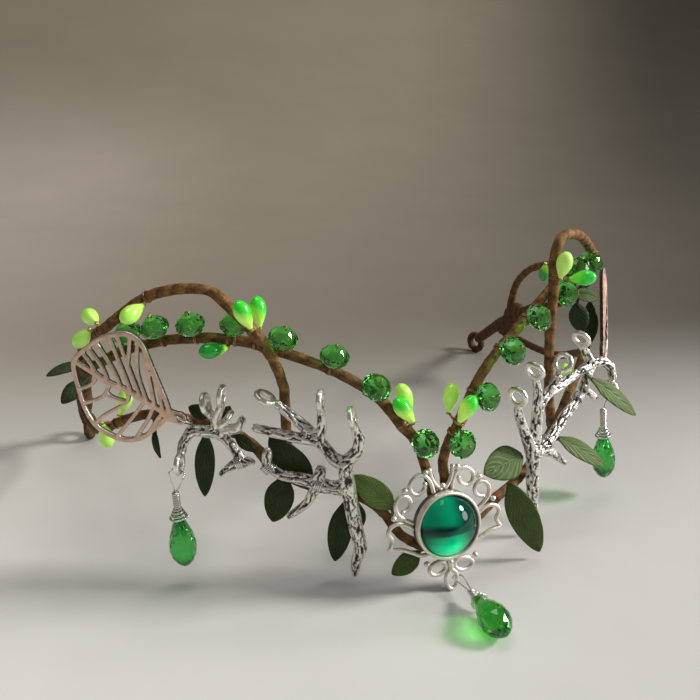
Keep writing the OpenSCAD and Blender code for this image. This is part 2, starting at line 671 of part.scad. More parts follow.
module bead(route, p) {
    seat = nearest(route, p);
    away = unit(p - seat);
    axis = unit(away + [0, 0, bead_upright]);
    half = bead_h / 2;
    r = bead_d / 2;
    lean = axis * away;
    stand = half * lean + 0.42 * r * sqrt(1 - lean * lean);
    color(glass_green)
        translate(seat + away * (wire_r + gap + stand))
            along(axis)
                rotate_extrude($fn = bead_sides)
                    polygon([[0.6, -half], [0.42 * r, -half], [0.94 * r, -0.2 * half],
                        [r, 0], [0.94 * r, 0.2 * half], [0.42 * r, half], [0.6, half]]);
}

module bead_left(k) place() bead(bead_left_seats, bead_left_places[k - 1]);
module bead_right(k) place() bead(bead_right_seats, bead_right_places[k - 1]);

// Buds: base [x, y, z] and tip [x, y, z]

buds_left_centre_ends = [
    [[-6.4, 5, 47.9], [-10.9, 7.9, 54.4]], [[-5.4, 9.4, 48.6], [-7.6, 12, 55.4]]
];
buds_left_crossing_ends = [
    [[-43.5, 19.1, 72.6], [-46.8, 19.3, 80.3]], [[-39.8, 26.6, 69.8], [-39.8, 28.9, 77.8]]
];
bud_left_under_ends = [[[-47.7, 27.5, 65.6], [-55.6, 24.8, 66.3]]];
bud_left_arch_ends = [[[-66.5, 34.5, 77], [-72.6, 29.1, 75.1]]];
buds_left_temple_ends = [
    [[-77.5, 52, 66.9], [-80.1, 59.9, 68]], [[-79.5, 53, 65.6], [-83.8, 57, 59.8]]
];
buds_left_band_ends = [
    [[-74.7, 48.4, 40.8], [-72.6, 48.4, 47.2]], [[-79.7, 51.5, 38.7], [-78.7, 51.5, 30.4]]
];
buds_right_centre_ends = [
    [[3.5, 1.1, 48], [7.8, 1.1, 55.1]], [[4.9, 9.2, 46.6], [6.4, 10.6, 53]]
];
buds_right_crossing_ends = [
    [[38.9, 14.9, 77.8], [38.8, 12.8, 86.2]], [[46.8, 22.6, 75], [50.5, 16, 77]]
];
bud_right_arch_ends = [[[78.7, 81.3, 60.7], [80.4, 83.9, 53.3]]];
bud_right_band_ends = [[[57.9, 33, 35.6], [56.7, 33, 43.4]]];

// Share of the length and share of the radius of a bud, from its base
bud_profile = [[0, 0.2], [0.12, 0.32], [0.3, 0.68], [0.48, 0.93], [0.62, 1], [0.76, 0.93],
    [0.88, 0.7], [0.96, 0.4]];

module bud(route, base, tip) {
    foot = clear_of(route, base, 0.5);
    union() {
        stalk(route, foot);
        translate(foot) along(tip - foot)
            rotate_extrude($fn = 32)
                polygon(concat([[0, 0]],
                    [for (b = bud_profile) [b[1] * bud_d / 2, b[0] * bud_len]],
                    [[0, bud_len]]));
    }
}

module buds(route, ends) {
    color(lime) for (e = ends) bud(route, e[0], e[1]);
}

module buds_left_centre() place() buds(bead_left_seats, buds_left_centre_ends);
module buds_left_crossing() place() {
    buds(arch_left_seats, [buds_left_crossing_ends[0]]);
    buds(bead_left_seats, [buds_left_crossing_ends[1]]);
}
module bud_left_under() place() buds(bead_left_seats, bud_left_under_ends);
module bud_left_arch() place() buds(arch_left_seats, bud_left_arch_ends);
module buds_left_temple() place() buds(arch_left_seats, buds_left_temple_ends);
module buds_left_band() place() buds(band_left_seats, buds_left_band_ends);
module buds_right_centre() place() buds(bead_right_seats, buds_right_centre_ends);
module buds_right_crossing() place() {
    buds(arch_right_seats, [buds_right_crossing_ends[0]]);
    buds(bead_right_seats, [buds_right_crossing_ends[1]]);
}
module bud_right_arch() place() buds(arch_right_seats, bud_right_arch_ends);
module bud_right_band() place() buds(band_right_seats, bud_right_band_ends);

// Fabric leaves: base, tip, way that the face looks, and width

leaves_left_front_rows = [
    [[-30, 17.1, 28.6], [-39.5, 22.5, 41.4], [-0.47, -0.88, 0.15], 8.4],
    [[-36.4, 19.8, 30.4], [-40.5, 18.6, 18.2], [-0.4, -0.9, 0.2], 7.8]
];
leaves_left_trunk_rows = [
    [[-21.4, 14.9, 22.2], [-25, 13.6, 5.2], [-0.45, -0.88, 0.1], 6.6],
    [[-17.8, 15.4, 21], [-17, 15.6, 12.6], [-0.45, -0.88, 0.1], 4.2],
    [[-10.4, 7.8, 22.4], [-19.8, 13.4, 31], [-0.3, -0.85, 0.4], 6.9]
];
leaf_left_setting_rows = [[[-4.3, 4, 9.6], [-12.1, 4, 4.3], [-0.3, -0.9, 0.35], 5.6]];
leaves_left_outer_rows = [
    [[-53, 30.4, 46.2], [-58.2, 32.6, 48.5], [-0.4, -0.9, 0.15], 4.2],
    [[-50, 29, 45.2], [-48.2, 28.4, 49], [-0.4, -0.9, 0.1], 3.2],
    [[-54.7, 29.6, 41.4], [-56.6, 27.2, 24.4], [-0.4, -0.9, 0.1], 5.4],
    [[-47.8, 25.4, 42.2], [-43.1, 22.8, 37.7], [-0.4, -0.85, 0.3], 3.4]
];
leaf_left_side_rows = [[[-67, 37.5, 40.9], [-66.3, 35.6, 33.3], [-0.8, -0.6, 0.1], 2.6]];
leaves_left_temple_rows = [
    [[-82.8, 59, 53.5], [-92.2, 55, 53], [-0.1, -0.5, 0.85], 3.6],
    [[-82.9, 61, 47.5], [-89.5, 57, 43.4], [-0.4, -0.8, 0.4], 5]
];
leaves_right_front_rows = [
    [[29.5, 11.2, 28.7], [14.3, 5, 29.3], [-0.4, -0.75, 0.5], 9.4],
    [[23.4, 6.2, 23.9], [31.9, 1.6, 2.4], [-0.6, -0.75, 0.2], 8.7, 1]
];
leaf_right_lower_rows = [[[47.5, 20, 26.4], [60, 13, 18.2], [0.1, -0.75, 0.65], 5.9]];
leaf_right_upper_rows = [[[59.1, 22.9, 42.6], [71.2, 16, 31.8], [0.2, -0.75, 0.6], 6]];
leaves_right_temple_rows = [
    [[58.1, 35, 65.7], [65.5, 32.6, 63.9], [0, -0.75, 0.65], 4.4],
    [[61, 37, 61.7], [62.9, 35, 52.7], [-0.5, -0.8, 0.2], 6]
];
leaf_right_side_rows = [[[73, 43.2, 45], [73.4, 46.6, 58], [-0.7, -0.7, 0.1], 5]];

// Share of the blade's length and share of its width
blade = [[0, 0.2], [0.1, 0.5], [0.25, 0.86], [0.45, 1], [0.68, 0.83], [0.88, 0.42], [1, 0.1]];
petiole_w = 0.9;
petiole_back = 2.2;
leaf_bow = 0.5;
leaf_fold = 0.04;

// Six points across one row of a leaf: upper side, then under side
function leaf_row(middle, across, face, width) =
    let (edge = across * width / 2, lift = face * width * leaf_fold, t = face * leaf_t / 2)
    [middle - edge + lift + t, middle + t, middle + edge + lift + t,
     middle + edge + lift - t, middle - t, middle - edge + lift - t];

// Each end of a leaf is closed by two halves, because its row is folded along the midrib
function leaf_faces(rows) = let (last = (rows - 1) * 6) concat(
    [[0, 1, 4, 5], [1, 2, 3, 4]],
    side_faces(rows, 6),
    [[last + 5, last + 4, last + 1, last], [last + 4, last + 3, last + 2, last + 1]]
);

// A leaf starts at its wire with a narrow petiole that leads to the base of the blade.
// A fifth column of 1 stands for a blade that lies straight on the wire, with no petiole.
module leaf(route, row, more) {
    base = row[0];
    tip = row[1];
    heading = unit(tip - base);
    across = unit(cross(heading, row[2]));
    face = cross(across, heading);
    start = foot_of(route, base - heading * petiole_back, petiole_w * 0.7 + more);
    way = unit(base - start);
    level = unit(face - way * (face * way));
    lying = row[4] == 1;
    points = concat(
        lying ? [] : leaf_row(start, cross(way, level), level, petiole_w),
        [for (b = blade)
            let (bow = 4 * b[0] * (1 - b[0]) * leaf_bow)
            each leaf_row(base + (tip - base) * b[0] + face * bow, across, face,
                max(petiole_w * (1 - 0.5 * b[0]), row[3] * b[1]))]);
    polyhedron(points, leaf_faces(len(blade) + (lying ? 0 : 1)), convexity = 6);
}

module leaves(route, rows, more = 0) {
    color(olive) for (row = rows) leaf(route, row, more);
}

module leaves_left_front() place() leaves(band_left_seats, leaves_left_front_rows);
module leaves_left_trunk() place() leaves(band_left_seats, leaves_left_trunk_rows);
module leaf_left_setting() place() leaves(band_left_seats, leaf_left_setting_rows);
module leaves_left_outer() place() leaves(band_left_seats, leaves_left_outer_rows);
module leaf_left_side() place() leaves(band_left_seats, leaf_left_side_rows);
module leaves_left_temple() place() leaves(bead_left_seats, leaves_left_temple_rows);
module leaves_right_front() place() leaves(band_right_seats, leaves_right_front_rows);
module leaf_right_lower() place() leaves(band_right_seats, leaf_right_lower_rows);
module leaf_right_upper() place() leaves(twig_seats, leaf_right_upper_rows, twig_seat_more);
module leaves_right_temple() place() leaves(bead_right_seats, leaves_right_temple_rows);
module leaf_right_side() place() leaves(band_right_seats, leaf_right_side_rows);

band_left();
band_right();
bead_wire_left();
bead_wire_right();
arch_left();
arch_right();
tail_left();
tail_right();
setting();
cabochon();
twig_left_inner();
twig_left_outer();
twig_right_inner();
twig_right_outer();
filigree_left();
filigree_right();
drop_left();
drop_left_wire();
drop_right();
drop_right_wire();
drop_centre();
drop_centre_wire();
bead_left(1);  // bead_left_1
bead_left(2);  // bead_left_2
bead_left(3);  // bead_left_3
bead_left(4);  // bead_left_4
bead_left(5);  // bead_left_5
bead_left(6);  // bead_left_6
bead_left(7);  // bead_left_7
bead_left(8);  // bead_left_8
bead_right(1);  // bead_right_1
bead_right(2);  // bead_right_2
bead_right(3);  // bead_right_3
bead_right(4);  // bead_right_4
bead_right(5);  // bead_right_5
bead_right(6);  // bead_right_6
bead_right(7);  // bead_right_7
buds_left_centre();
buds_left_crossing();
bud_left_under();
bud_left_arch();
buds_left_temple();
buds_left_band();
buds_right_centre();
buds_right_crossing();
bud_right_arch();
bud_right_band();
leaves_left_front();
leaves_left_trunk();
leaf_left_setting();
leaves_left_outer();
leaf_left_side();
leaves_left_temple();
leaves_right_front();
leaf_right_lower();
leaf_right_upper();
leaves_right_temple();
leaf_right_side();
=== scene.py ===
"""Looks of a woodland diadem: tape-wrapped wires, cast silver, glass and cloth leaves.

The tables repeat the sizes of the solids in millimetres. X runs to the right as seen
from the front, Y to the back and Z up; SHIFT brings them into the shared frame.
"""

import math

import bpy
import numpy as np
from mathutils import Matrix, Vector, noise
from mathutils.kdtree import KDTree


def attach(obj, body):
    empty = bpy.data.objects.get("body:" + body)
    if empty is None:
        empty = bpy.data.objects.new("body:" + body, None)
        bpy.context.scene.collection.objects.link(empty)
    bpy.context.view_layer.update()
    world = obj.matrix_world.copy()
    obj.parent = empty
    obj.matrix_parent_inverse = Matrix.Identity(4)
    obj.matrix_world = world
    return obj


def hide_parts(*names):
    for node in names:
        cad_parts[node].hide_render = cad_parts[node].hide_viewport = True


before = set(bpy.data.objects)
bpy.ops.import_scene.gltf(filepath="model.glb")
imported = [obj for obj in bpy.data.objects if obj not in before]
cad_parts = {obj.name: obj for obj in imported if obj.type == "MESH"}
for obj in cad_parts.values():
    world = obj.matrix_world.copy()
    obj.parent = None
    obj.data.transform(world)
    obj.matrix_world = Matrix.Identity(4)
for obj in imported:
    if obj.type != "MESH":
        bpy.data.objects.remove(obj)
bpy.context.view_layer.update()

MM = 0.001
SHIFT = np.array([0.7, -62.0, 0.0])
WIRE_R = 1.3
# Clear space between a piece and the one that carries it
GAP = 0.3

# Routes and sizes

# Points on the middle of each wire, from its front end to its back end
WIRES = {
    "band_left": [
        (1.8, 2.9, 11.5), (-3.4, 3.6, 11.8), (-8.4, 6.8, 14), (-12, 9.5, 19.4),
        (-16, 11.6, 23.5), (-22, 14.8, 25.8), (-30.5, 19.3, 27), (-38, 23.4, 31),
        (-42, 25.4, 36.5), (-46.5, 27.6, 40.6), (-52, 30.7, 43), (-60, 35.2, 44.3),
        (-68, 41, 44), (-75, 50.3, 38.5), (-79, 62, 31), (-81, 77, 24),
        (-82.5, 93, 18.5), (-83.5, 103, 17), (-83.7, 106.5, 17.5)],
    "band_right": [
        (2.4, 2.9, 11.5), (8, 3.6, 12.5), (14, 5.9, 15.5), (21, 8.5, 18.6),
        (30, 13.5, 19.2), (39, 19.5, 21), (48.5, 25.8, 25.2), (54, 29.5, 28.2),
        (58, 32.4, 31.2), (63, 36.4, 35.2), (68, 40.8, 39), (73, 46.5, 40),
        (77.5, 57, 35), (80, 70, 29), (81.5, 84, 25.5), (82.6, 98, 23.5),
        (83.4, 108, 22), (83.7, 113, 21.6)],
    "bead_wire_left": [
        (0.4, 5.2, 20), (-0.3, 7.4, 28), (-1.8, 8.6, 34), (-4.7, 6.9, 41.4),
        (-8.7, 8.1, 46.6), (-14.4, 10.9, 54), (-23.5, 15.6, 60.2), (-35.3, 21.8, 64.8),
        (-42, 26, 66.6), (-48.2, 28.9, 67.4), (-54, 31.7, 67.5), (-61.3, 36, 66.3),
        (-66, 39.3, 64.6), (-72.5, 47, 60.5), (-77, 58, 54), (-80, 73, 47),
        (-81.4, 86, 41.6)],
    "bead_wire_right": [
        (4.2, 5.2, 20), (4, 7.4, 28), (3.8, 8.6, 33.8), (4.4, 6.6, 40.9),
        (6.7, 5.8, 46.5), (11.5, 6.9, 56), (18.4, 9.8, 62.1), (25.7, 13.2, 65.9),
        (36, 19.8, 70), (42, 23.6, 71.8), (48, 26.8, 72.3), (56, 31.2, 72.6),
        (64, 37, 71.6), (71, 44.5, 68.5), (76.5, 55, 60), (79.5, 67, 51),
        (81, 80, 44.5), (81.4, 86, 41.6)],
    "arch_left": [
        (-34.7, 22.3, 32), (-35.1, 22.2, 44), (-35.4, 21.3, 51.4), (-36, 20.2, 56.6),
        (-38.2, 20.3, 63.5), (-41.3, 21.6, 69.4), (-47.4, 25.3, 76.9), (-50.4, 27.7, 80),
        (-53, 28.9, 81), (-56, 30.5, 81), (-60, 32.8, 80.4), (-64.8, 35.8, 78.6),
        (-69, 39.6, 75.2), (-73, 44, 70.8), (-76.2, 49.5, 66.4), (-78.2, 56.5, 62.4),
        (-79, 64, 58.8), (-79.6, 73, 55.2), (-80.6, 84, 51), (-81.8, 94, 46),
        (-82.6, 100, 40.5), (-83, 102.5, 34)],
    "arch_right": [
        (48.2, 24.6, 28.6), (43.5, 20.9, 39.7), (40.9, 19, 52.3), (39.8, 18.3, 60.5),
        (39.4, 18, 71), (39, 17.9, 79.6), (38.8, 17.8, 85), (41.3, 19.4, 88),
        (46.4, 22.6, 87.7), (51.6, 26, 86), (56.8, 30.6, 83.2), (64.2, 37.2, 78),
        (71.5, 43.5, 72), (77.5, 54, 67.5), (81, 70, 63), (82.2, 84, 59),
        (82.6, 97, 53.5), (83, 106, 45.5), (83.2, 109, 38), (83.2, 109.5, 33.5)],
    "tail_left": [
        (-81.5, 86.5, 41.4), (-82.3, 93, 37), (-83.2, 102, 29.5), (-84, 110.5, 20),
        (-84.2, 114.5, 12.5), (-83.9, 116.6, 8.3)],
    "tail_right": [
        (81.5, 86.5, 41.4), (82.1, 94.5, 37.8), (83.2, 108, 30.2), (84.7, 122.5, 21),
        (86.5, 135, 12.5), (87.8, 142.2, 7.9)],
}
TAIL_R = 2.1
# Eyelets: centre and turn about Z of the flat ring
EYELETS = {"tail_left": ((-83.2, 118.8, 4.88), 72), "tail_right": ((88.4, 145.5, 4.88), 108)}
EYELET_ROUTE_R = 3.38
EYELET_WIRE_R = 1.45

# Beads: radius, half height and how far they lean upright; for each side the wire that
# carries them, and their middles before they are moved clear of it
BEAD_R, BEAD_HALF, BEAD_UPRIGHT = 3.9, 2.7, 0.5
BEADS = {
    "left": ("bead_wire_left", [
        (-4.5, 2.4, 43.3), (-15.7, 8, 58.1), (-24.3, 14.5, 64.9), (-35.6, 20.3, 69.1),
        (-46, 27.7, 71.1), (-56.3, 31.1, 71.5), (-64.5, 36.2, 70), (-70.3, 41.8, 66.4)]),
    "right": ("bead_wire_right", [
        (5.5, 1.6, 41.7), (12.2, 2.2, 53.6), (20.5, 5.7, 63.6), (31.3, 11.6, 69.3),
        (44.6, 20.3, 71.7), (52.8, 26.7, 76.4), (59.9, 30.8, 76.2)]),
}

# Buds: node, wire that carries it, base, tip, and its look
BUD_LEN, BUD_R = 8.4, 2.15
BUDS = [
    ("buds_left_centre", "bead_wire_left", (-6.4, 5, 47.9), (-10.9, 7.9, 54.4), "two_tone"),
    ("buds_left_centre", "bead_wire_left", (-5.4, 9.4, 48.6), (-7.6, 12, 55.4), "lime"),
    ("buds_left_crossing", "arch_left", (-43.5, 19.1, 72.6), (-46.8, 19.3, 80.3), "two_tone"),
    ("buds_left_crossing", "bead_wire_left", (-39.8, 26.6, 69.8), (-39.8, 28.9, 77.8), "two_tone"),
    ("bud_left_under", "bead_wire_left", (-47.7, 27.5, 65.6), (-55.6, 24.8, 66.3), "deep"),
    ("bud_left_arch", "arch_left", (-66.5, 34.5, 77), (-72.6, 29.1, 75.1), "lime"),
    ("buds_left_temple", "arch_left", (-77.5, 52, 66.9), (-80.1, 59.9, 68), "lime"),
    ("buds_left_temple", "arch_left", (-79.5, 53, 65.6), (-83.8, 57, 59.8), "lime"),
    ("buds_left_band", "band_left", (-74.7, 48.4, 40.8), (-72.6, 48.4, 47.2), "lime"),
    ("buds_left_band", "band_left", (-79.7, 51.5, 38.7), (-78.7, 51.5, 30.4), "lime"),
    ("buds_right_centre", "bead_wire_right", (3.5, 1.1, 48), (7.8, 1.1, 55.1), "two_tone"),
    ("buds_right_centre", "bead_wire_right", (4.9, 9.2, 46.6), (6.4, 10.6, 53), "lime"),
    ("buds_right_crossing", "arch_right", (38.9, 14.9, 77.8), (38.8, 12.8, 86.2), "pale"),
    ("buds_right_crossing", "bead_wire_right", (46.8, 22.6, 75), (50.5, 16, 77), "clear"),
    ("bud_right_arch", "arch_right", (78.7, 81.3, 60.7), (80.4, 83.9, 53.3), "deep"),
    ("bud_right_band", "band_right", (57.9, 33, 35.6), (56.7, 33, 43.4), "lime"),
]
# Share of the length and share of the radius
BUD_PROFILE = [(0, 0.2), (0.12, 0.32), (0.3, 0.68), (0.48, 0.93), (0.62, 1), (0.76, 0.93),
               (0.88, 0.7), (0.96, 0.4), (1, 0.02)]

# Leaves: node, route that carries it, base, tip, way it faces, width, tone, and 1 where
# the blade lies against its wire and has no stalk
LEAVES = [
    ("leaves_left_front", "band_left", (-30, 17.1, 28.6), (-39.5, 22.5, 41.4),
     (-0.47, -0.88, 0.15), 8.4, "dark", 0),
    ("leaves_left_front", "band_left", (-36.4, 19.8, 30.4), (-40.5, 18.6, 18.2),
     (-0.4, -0.9, 0.2), 7.8, "dark", 0),
    ("leaves_left_trunk", "band_left", (-21.4, 14.9, 22.2), (-25, 13.6, 5.2),
     (-0.45, -0.88, 0.1), 6.6, "dark", 0),
    ("leaves_left_trunk", "band_left", (-17.8, 15.4, 21), (-17, 15.6, 12.6),
     (-0.45, -0.88, 0.1), 4.2, "dark", 0),
    ("leaves_left_trunk", "band_left", (-10.4, 7.8, 22.4), (-19.8, 13.4, 31),
     (-0.3, -0.85, 0.4), 6.9, "bright", 0),
    ("leaf_left_setting", "band_left", (-4.3, 4, 9.6), (-12.1, 4, 4.3),
     (-0.3, -0.9, 0.35), 5.6, "light", 0),
    ("leaves_left_outer", "band_left", (-53, 30.4, 46.2), (-58.2, 32.6, 48.5),
     (-0.4, -0.9, 0.15), 4.2, "dark", 0),
    ("leaves_left_outer", "band_left", (-50, 29, 45.2), (-48.2, 28.4, 49),
     (-0.4, -0.9, 0.1), 3.2, "dark", 0),
    ("leaves_left_outer", "band_left", (-54.7, 29.6, 41.4), (-56.6, 27.2, 24.4),
     (-0.4, -0.9, 0.1), 5.4, "dark", 0),
    ("leaves_left_outer", "band_left", (-47.8, 25.4, 42.2), (-43.1, 22.8, 37.7),
     (-0.4, -0.85, 0.3), 3.4, "dark", 0),
    ("leaf_left_side", "band_left", (-67, 37.5, 40.9), (-66.3, 35.6, 33.3),
     (-0.8, -0.6, 0.1), 2.6, "dark", 0),
    ("leaves_left_temple", "bead_wire_left", (-82.8, 59, 53.5), (-92.2, 55, 53),
     (-0.1, -0.5, 0.85), 3.6, "dark", 0),
    ("leaves_left_temple", "bead_wire_left", (-82.9, 61, 47.5), (-89.5, 57, 43.4),
     (-0.4, -0.8, 0.4), 5, "dark", 0),
    ("leaves_right_front", "band_right", (29.5, 11.2, 28.7), (14.3, 5, 29.3),
     (-0.4, -0.75, 0.5), 9.4, "light", 0),
    ("leaves_right_front", "band_right", (23.4, 6.2, 23.9), (31.9, 1.6, 2.4),
     (-0.6, -0.75, 0.2), 8.7, "light", 1),
    ("leaf_right_lower", "band_right", (47.5, 20, 26.4), (60, 13, 18.2),
     (0.1, -0.75, 0.65), 5.9, "pale", 0),
    ("leaf_right_upper", "twig", (59.1, 22.9, 42.6), (71.2, 16, 31.8),
     (0.2, -0.75, 0.6), 6, "pale", 0),
    ("leaves_right_temple", "bead_wire_right", (58.1, 35, 65.7), (65.5, 32.6, 63.9),
     (0, -0.75, 0.65), 4.4, "light", 0),
    # The dark leaf below stands where a dark mass lies in shade; its dark tone is partly painted
    # shade
    ("leaves_right_temple", "bead_wire_right", (61, 37, 61.7), (62.9, 35, 52.7),
     (-0.5, -0.8, 0.2), 6, "dark", 0),
    ("leaf_right_side", "band_right", (73, 43.2, 45), (73.4, 46.6, 58),
     (-0.7, -0.7, 0.1), 5, "dark", 0),
]
BLADE = [(0, 0.2), (0.1, 0.5), (0.25, 0.86), (0.45, 1), (0.68, 0.86), (0.86, 0.55), (0.95, 0.3),
         (1, 0.08)]
LEAF_BOW = 0.5
LEAF_HALF_T = 0.42
PETIOLE_R, PETIOLE_SIDES, PETIOLE_BACK = 0.45, 8, 2.2
TWIG_SEAT_MORE = 0.4
VEIN_COUNT, VEIN_SLANT = 5.5, 5.0

# Drops: top and low end, length of the wire neck, width and length of the glass, radius of
# the wire loop, and for a hanging one the twig's tip ring, where that joins, and its side
DROPS = {
    "drop_left": dict(top=(-64.4, 25, 28.6), low=(-63.4, 25, 5.2), neck=4.8, d=7.5, length=17,
                      ring=(-62.7, 25, 36.6), joint=(-61.8, 26.6, 38.8), side=-1, loop=2.0),
    "drop_right": dict(top=(66, 24.4, 30.8), low=(69.2, 23.8, 6.2), neck=6.4, d=7.5, length=17,
                       ring=(67.6, 25.2, 36.9), joint=(69.7, 26.5, 39.8), side=1, loop=1.6),
    "drop_centre": dict(top=(5, -8.4, 3.6), low=(5.2, -26.6, 4.4), neck=1.6, d=8.2, length=15,
                        loop=1.4),
}
# Share of the length from the neck, and share of the radius
BRIOLETTE = [(0.0, 0.2), (0.1, 0.31), (0.24, 0.55), (0.4, 0.8), (0.55, 0.96), (0.68, 0.98),
             (0.8, 0.86), (0.9, 0.62), (0.965, 0.37), (1.0, 0.13)]
DROP_SEAT, FLARE_H, FLARE_R, NECK_R = 1.2, 3.4, 2.3, 0.75
RING_MID_R, RING_WIRE_R = 2.4, 0.75

# Middles of the polished tip rings of the cast twigs
TIP_RINGS = [
    (-21.4, 10, 49.8), (-28.3, 13.8, 53.9), (-40.8, 20, 54), (-50.8, 24.8, 54),
    (-54.7, 26.6, 51.6), (-50.4, 23.6, 47.6), (-62.7, 25, 36.6), (23.4, 6.1, 50.1),
    (30.3, 9.7, 55), (42.7, 15, 53.4), (55.6, 25.3, 55), (67.6, 25.2, 36.9)]

# Setting: its middle in the diadem, and how far it leans back. Below are sizes and places
# in its own plane: x to the right, y up, z to the front
SETTING_CENTRE = np.array([2.1, 2.4, 18.31])
SETTING_LEAN = math.radians(15)
STONE_R, STONE_H, BEZEL_R, BEZEL_H, BEZEL_FLOOR, BEZEL_WALL = 8, 4.5, 9.2, 2.6, 1, 0.9
SCROLL_R = 0.5
SCROLL_SHOWN_R = 0.58
GRANULE_LIFT = 0.3
# Routes of the scrolls on the right; those on the left mirror them
SCROLLS = [
    [(0.4, 9.2), (1.8, 10.7), (2.8, 12.6), (3.3, 15)],
    [(2.6, 8.6), (3.1, 11.1), (4.4, 13.4), (6.9, 14.1), (9.1, 12.2), (8.7, 9.9), (7, 9.2),
     (5.3, 10.2), (4.9, 11.6)],
    [(8.8, 1.6), (11.2, 3.1), (13.2, 5), (13.6, 7.5), (12.3, 9.2), (10.4, 9.2), (9.3, 7.7),
     (9.9, 5.9), (11.6, 5.2)],
    [(8.8, 0), (11.4, 1.8), (13.5, 2.4), (15.6, 1.6), (16.1, 0), (15.2, -1.6), (15.6, -3),
     (16.1, -4.2), (13, -4.7), (10.2, -6), (7.6, -7.4), (4.8, -7.4)],
]
# Granules: x, y and radius; the first list is mirrored as well
GRANULES = [(4.6, 14.7, 0.8), (10.8, 10.9, 0.8), (14.4, 4.1, 0.8)]
LOWER_GRANULES = [(0, 10.4, 0.7), (8, -10.4, 0.8), (-6.2, -10, 0.8)]
# Petals of the lower bow: centre x, centre y, half length, half width, angle
PETALS = [(4.5, -12.2, 2.7, 1.7, -9), (-3.1, -12, 2.4, 1.7, 188), (0.7, -15.8, 2.65, 1.65, -90)]
# Stem and knot of the bow, and where the centre drop's wire passes through the low petal
BOW_STEM = [(0.4, -8.8, 0), (0.5, -10.6, 0.2), (0.7, -13, 0)]
BOW_STEM_R = (0.9, 0.8)
BOW_KNOT, BOW_KNOT_R = (0.6, -10.7, 0.5), 0.75
PETAL_HOOK = (2.35, -15.6)

# Silver wire that ties the twigs on: base and way of the coil, radius, turns
TWIG_TIES = [
    ((-40.2, 19.0, 33.4), (-0.5, 0.25, 0.6), 1.75, 5),
    ((-28.2, 13.6, 30.0), (-0.9, 0.4, 0.3), 2.15, 4),
    ((-46.6, 22.2, 36.0), (-0.9, 0.4, -0.3), 1.85, 4),
    ((39.6, 14.9, 28.7), (0.9, 0.45, 0.25), 2.1, 4),
    ((54.2, 22.3, 36.8), (0.8, 0.35, 0.5), 1.85, 4)]
TIE_PITCH, TIE_WIRE_R = 0.5, 0.22
# Jump ring through the eye of the left filigree leaf
JUMP_RING_PLACE, JUMP_RING_WAY = np.array([-60.3, 28.4, 47.6]), (0.5, 0.1, 0.85)
JUMP_RING_R, JUMP_RING_WIRE_R = 2.3, 0.36


# Routes, skins and meshes

def unit(v):
    v = np.asarray(v, float)
    return v / np.linalg.norm(v)


def smooth(points, steps):
    """Smooth route through the points, with steps pieces between two of them."""
    p = np.asarray(points, float)
    last = len(p) - 1
    out = []
    for i in range(last):
        a, b, c, d = p[max(i - 1, 0)], p[i], p[i + 1], p[min(i + 2, last)]
        for k in range(steps):
            t = k / steps
            out.append(0.5 * (2 * b + (c - a) * t + (2 * a - 5 * b + 4 * c - d) * t ** 2
                              + (3 * b - a - 3 * c + d) * t ** 3))
    out.append(p[last])
    return np.array(out)


def lengths(route):
    """Distance from the start at each point of a route."""
    return np.concatenate([[0], np.cumsum(np.linalg.norm(np.diff(route, axis=0), axis=1))])


def even(route, spacing):
    """The same route with points at an even spacing."""
    s = lengths(route)
    t = np.linspace(0, s[-1], max(2, int(round(s[-1] / spacing)) + 1))
    return np.stack([np.interp(t, s, route[:, k]) for k in range(3)], axis=1)


def table(rows, t):
    """Smooth values at t between the rows of a two-column table."""
    curve = smooth([(a, b, 0) for a, b in rows], 8)
    return np.interp(t, curve[:, 0], curve[:, 1])


def nearest(route, p):
    """Point of a route that is nearest to p."""
    return route[np.argmin(np.linalg.norm(route - np.asarray(p, float), axis=1))]


def skin(rings, closed=False, caps=True):
    """Faces over rings of equal size that run counter-clockwise about their way."""
    n, sides = rings
    faces = [(i * sides + k, i * sides + (k + 1) % sides,
              (i + 1) % n * sides + (k + 1) % sides, (i + 1) % n * sides + k)
             for i in range(n if closed else n - 1) for k in range(sides)]
    if caps and not closed:
        faces.append(tuple(range(sides - 1, -1, -1)))
        faces.append(tuple(range((n - 1) * sides, n * sides)))
    return faces


def tube(route, radius, sides, closed=False, first=(0, -1, 0)):
    """Points [ring, side, 3] and faces of a skin round a route.

    The radius is one number, one for each ring, or one for each point.
    """
    route = np.asarray(route, float)
    way = np.roll(route, -1, 0) - np.roll(route, 1, 0) if closed else np.gradient(route, axis=0)
    way /= np.linalg.norm(way, axis=1)[:, None]
    side = np.empty_like(route)
    u = np.asarray(first, float)
    for i, t in enumerate(way):
        u = unit(u - t * (u @ t))
        side[i] = u
    other = np.cross(way, side)
    angle = np.arange(sides) * 2 * math.pi / sides
    r = np.asarray(radius, float)
    r = np.broadcast_to(r[:, None] if r.ndim == 1 else r, (len(route), sides))
    co = route[:, None] + r[..., None] * (np.cos(angle)[None, :, None] * side[:, None]
                                          + np.sin(angle)[None, :, None] * other[:, None])
    return co, skin((len(route), sides), closed)


def turned(profile, sides, twist=0.0):
    """Lathe about Z of [z, r] rows; every other ring may be turned by half a facet."""
    co = []
    for i, (z, r) in enumerate(profile):
        a = (np.arange(sides) + twist * (i % 2)) * 2 * math.pi / sides
        co.append(np.stack([r * np.cos(a), r * np.sin(a), np.full(sides, float(z))], axis=1))
    return np.array(co)


def faceted(co):
    """Triangular facets between rings that are turned by half a facet."""
    n, sides = co.shape[:2]
    faces = []
    for i in range(n - 1):
        for k in range(sides):
            a, b = i * sides + k, i * sides + (k + 1) % sides
            c, d = (i + 1) * sides + k, (i + 1) * sides + (k + 1) % sides
            faces += [(a, b, c), (b, d, c)] if i % 2 == 0 else [(a, d, c), (a, b, d)]
    faces.append(tuple(range(sides - 1, -1, -1)))
    faces.append(tuple(range((n - 1) * sides, n * sides)))
    return faces


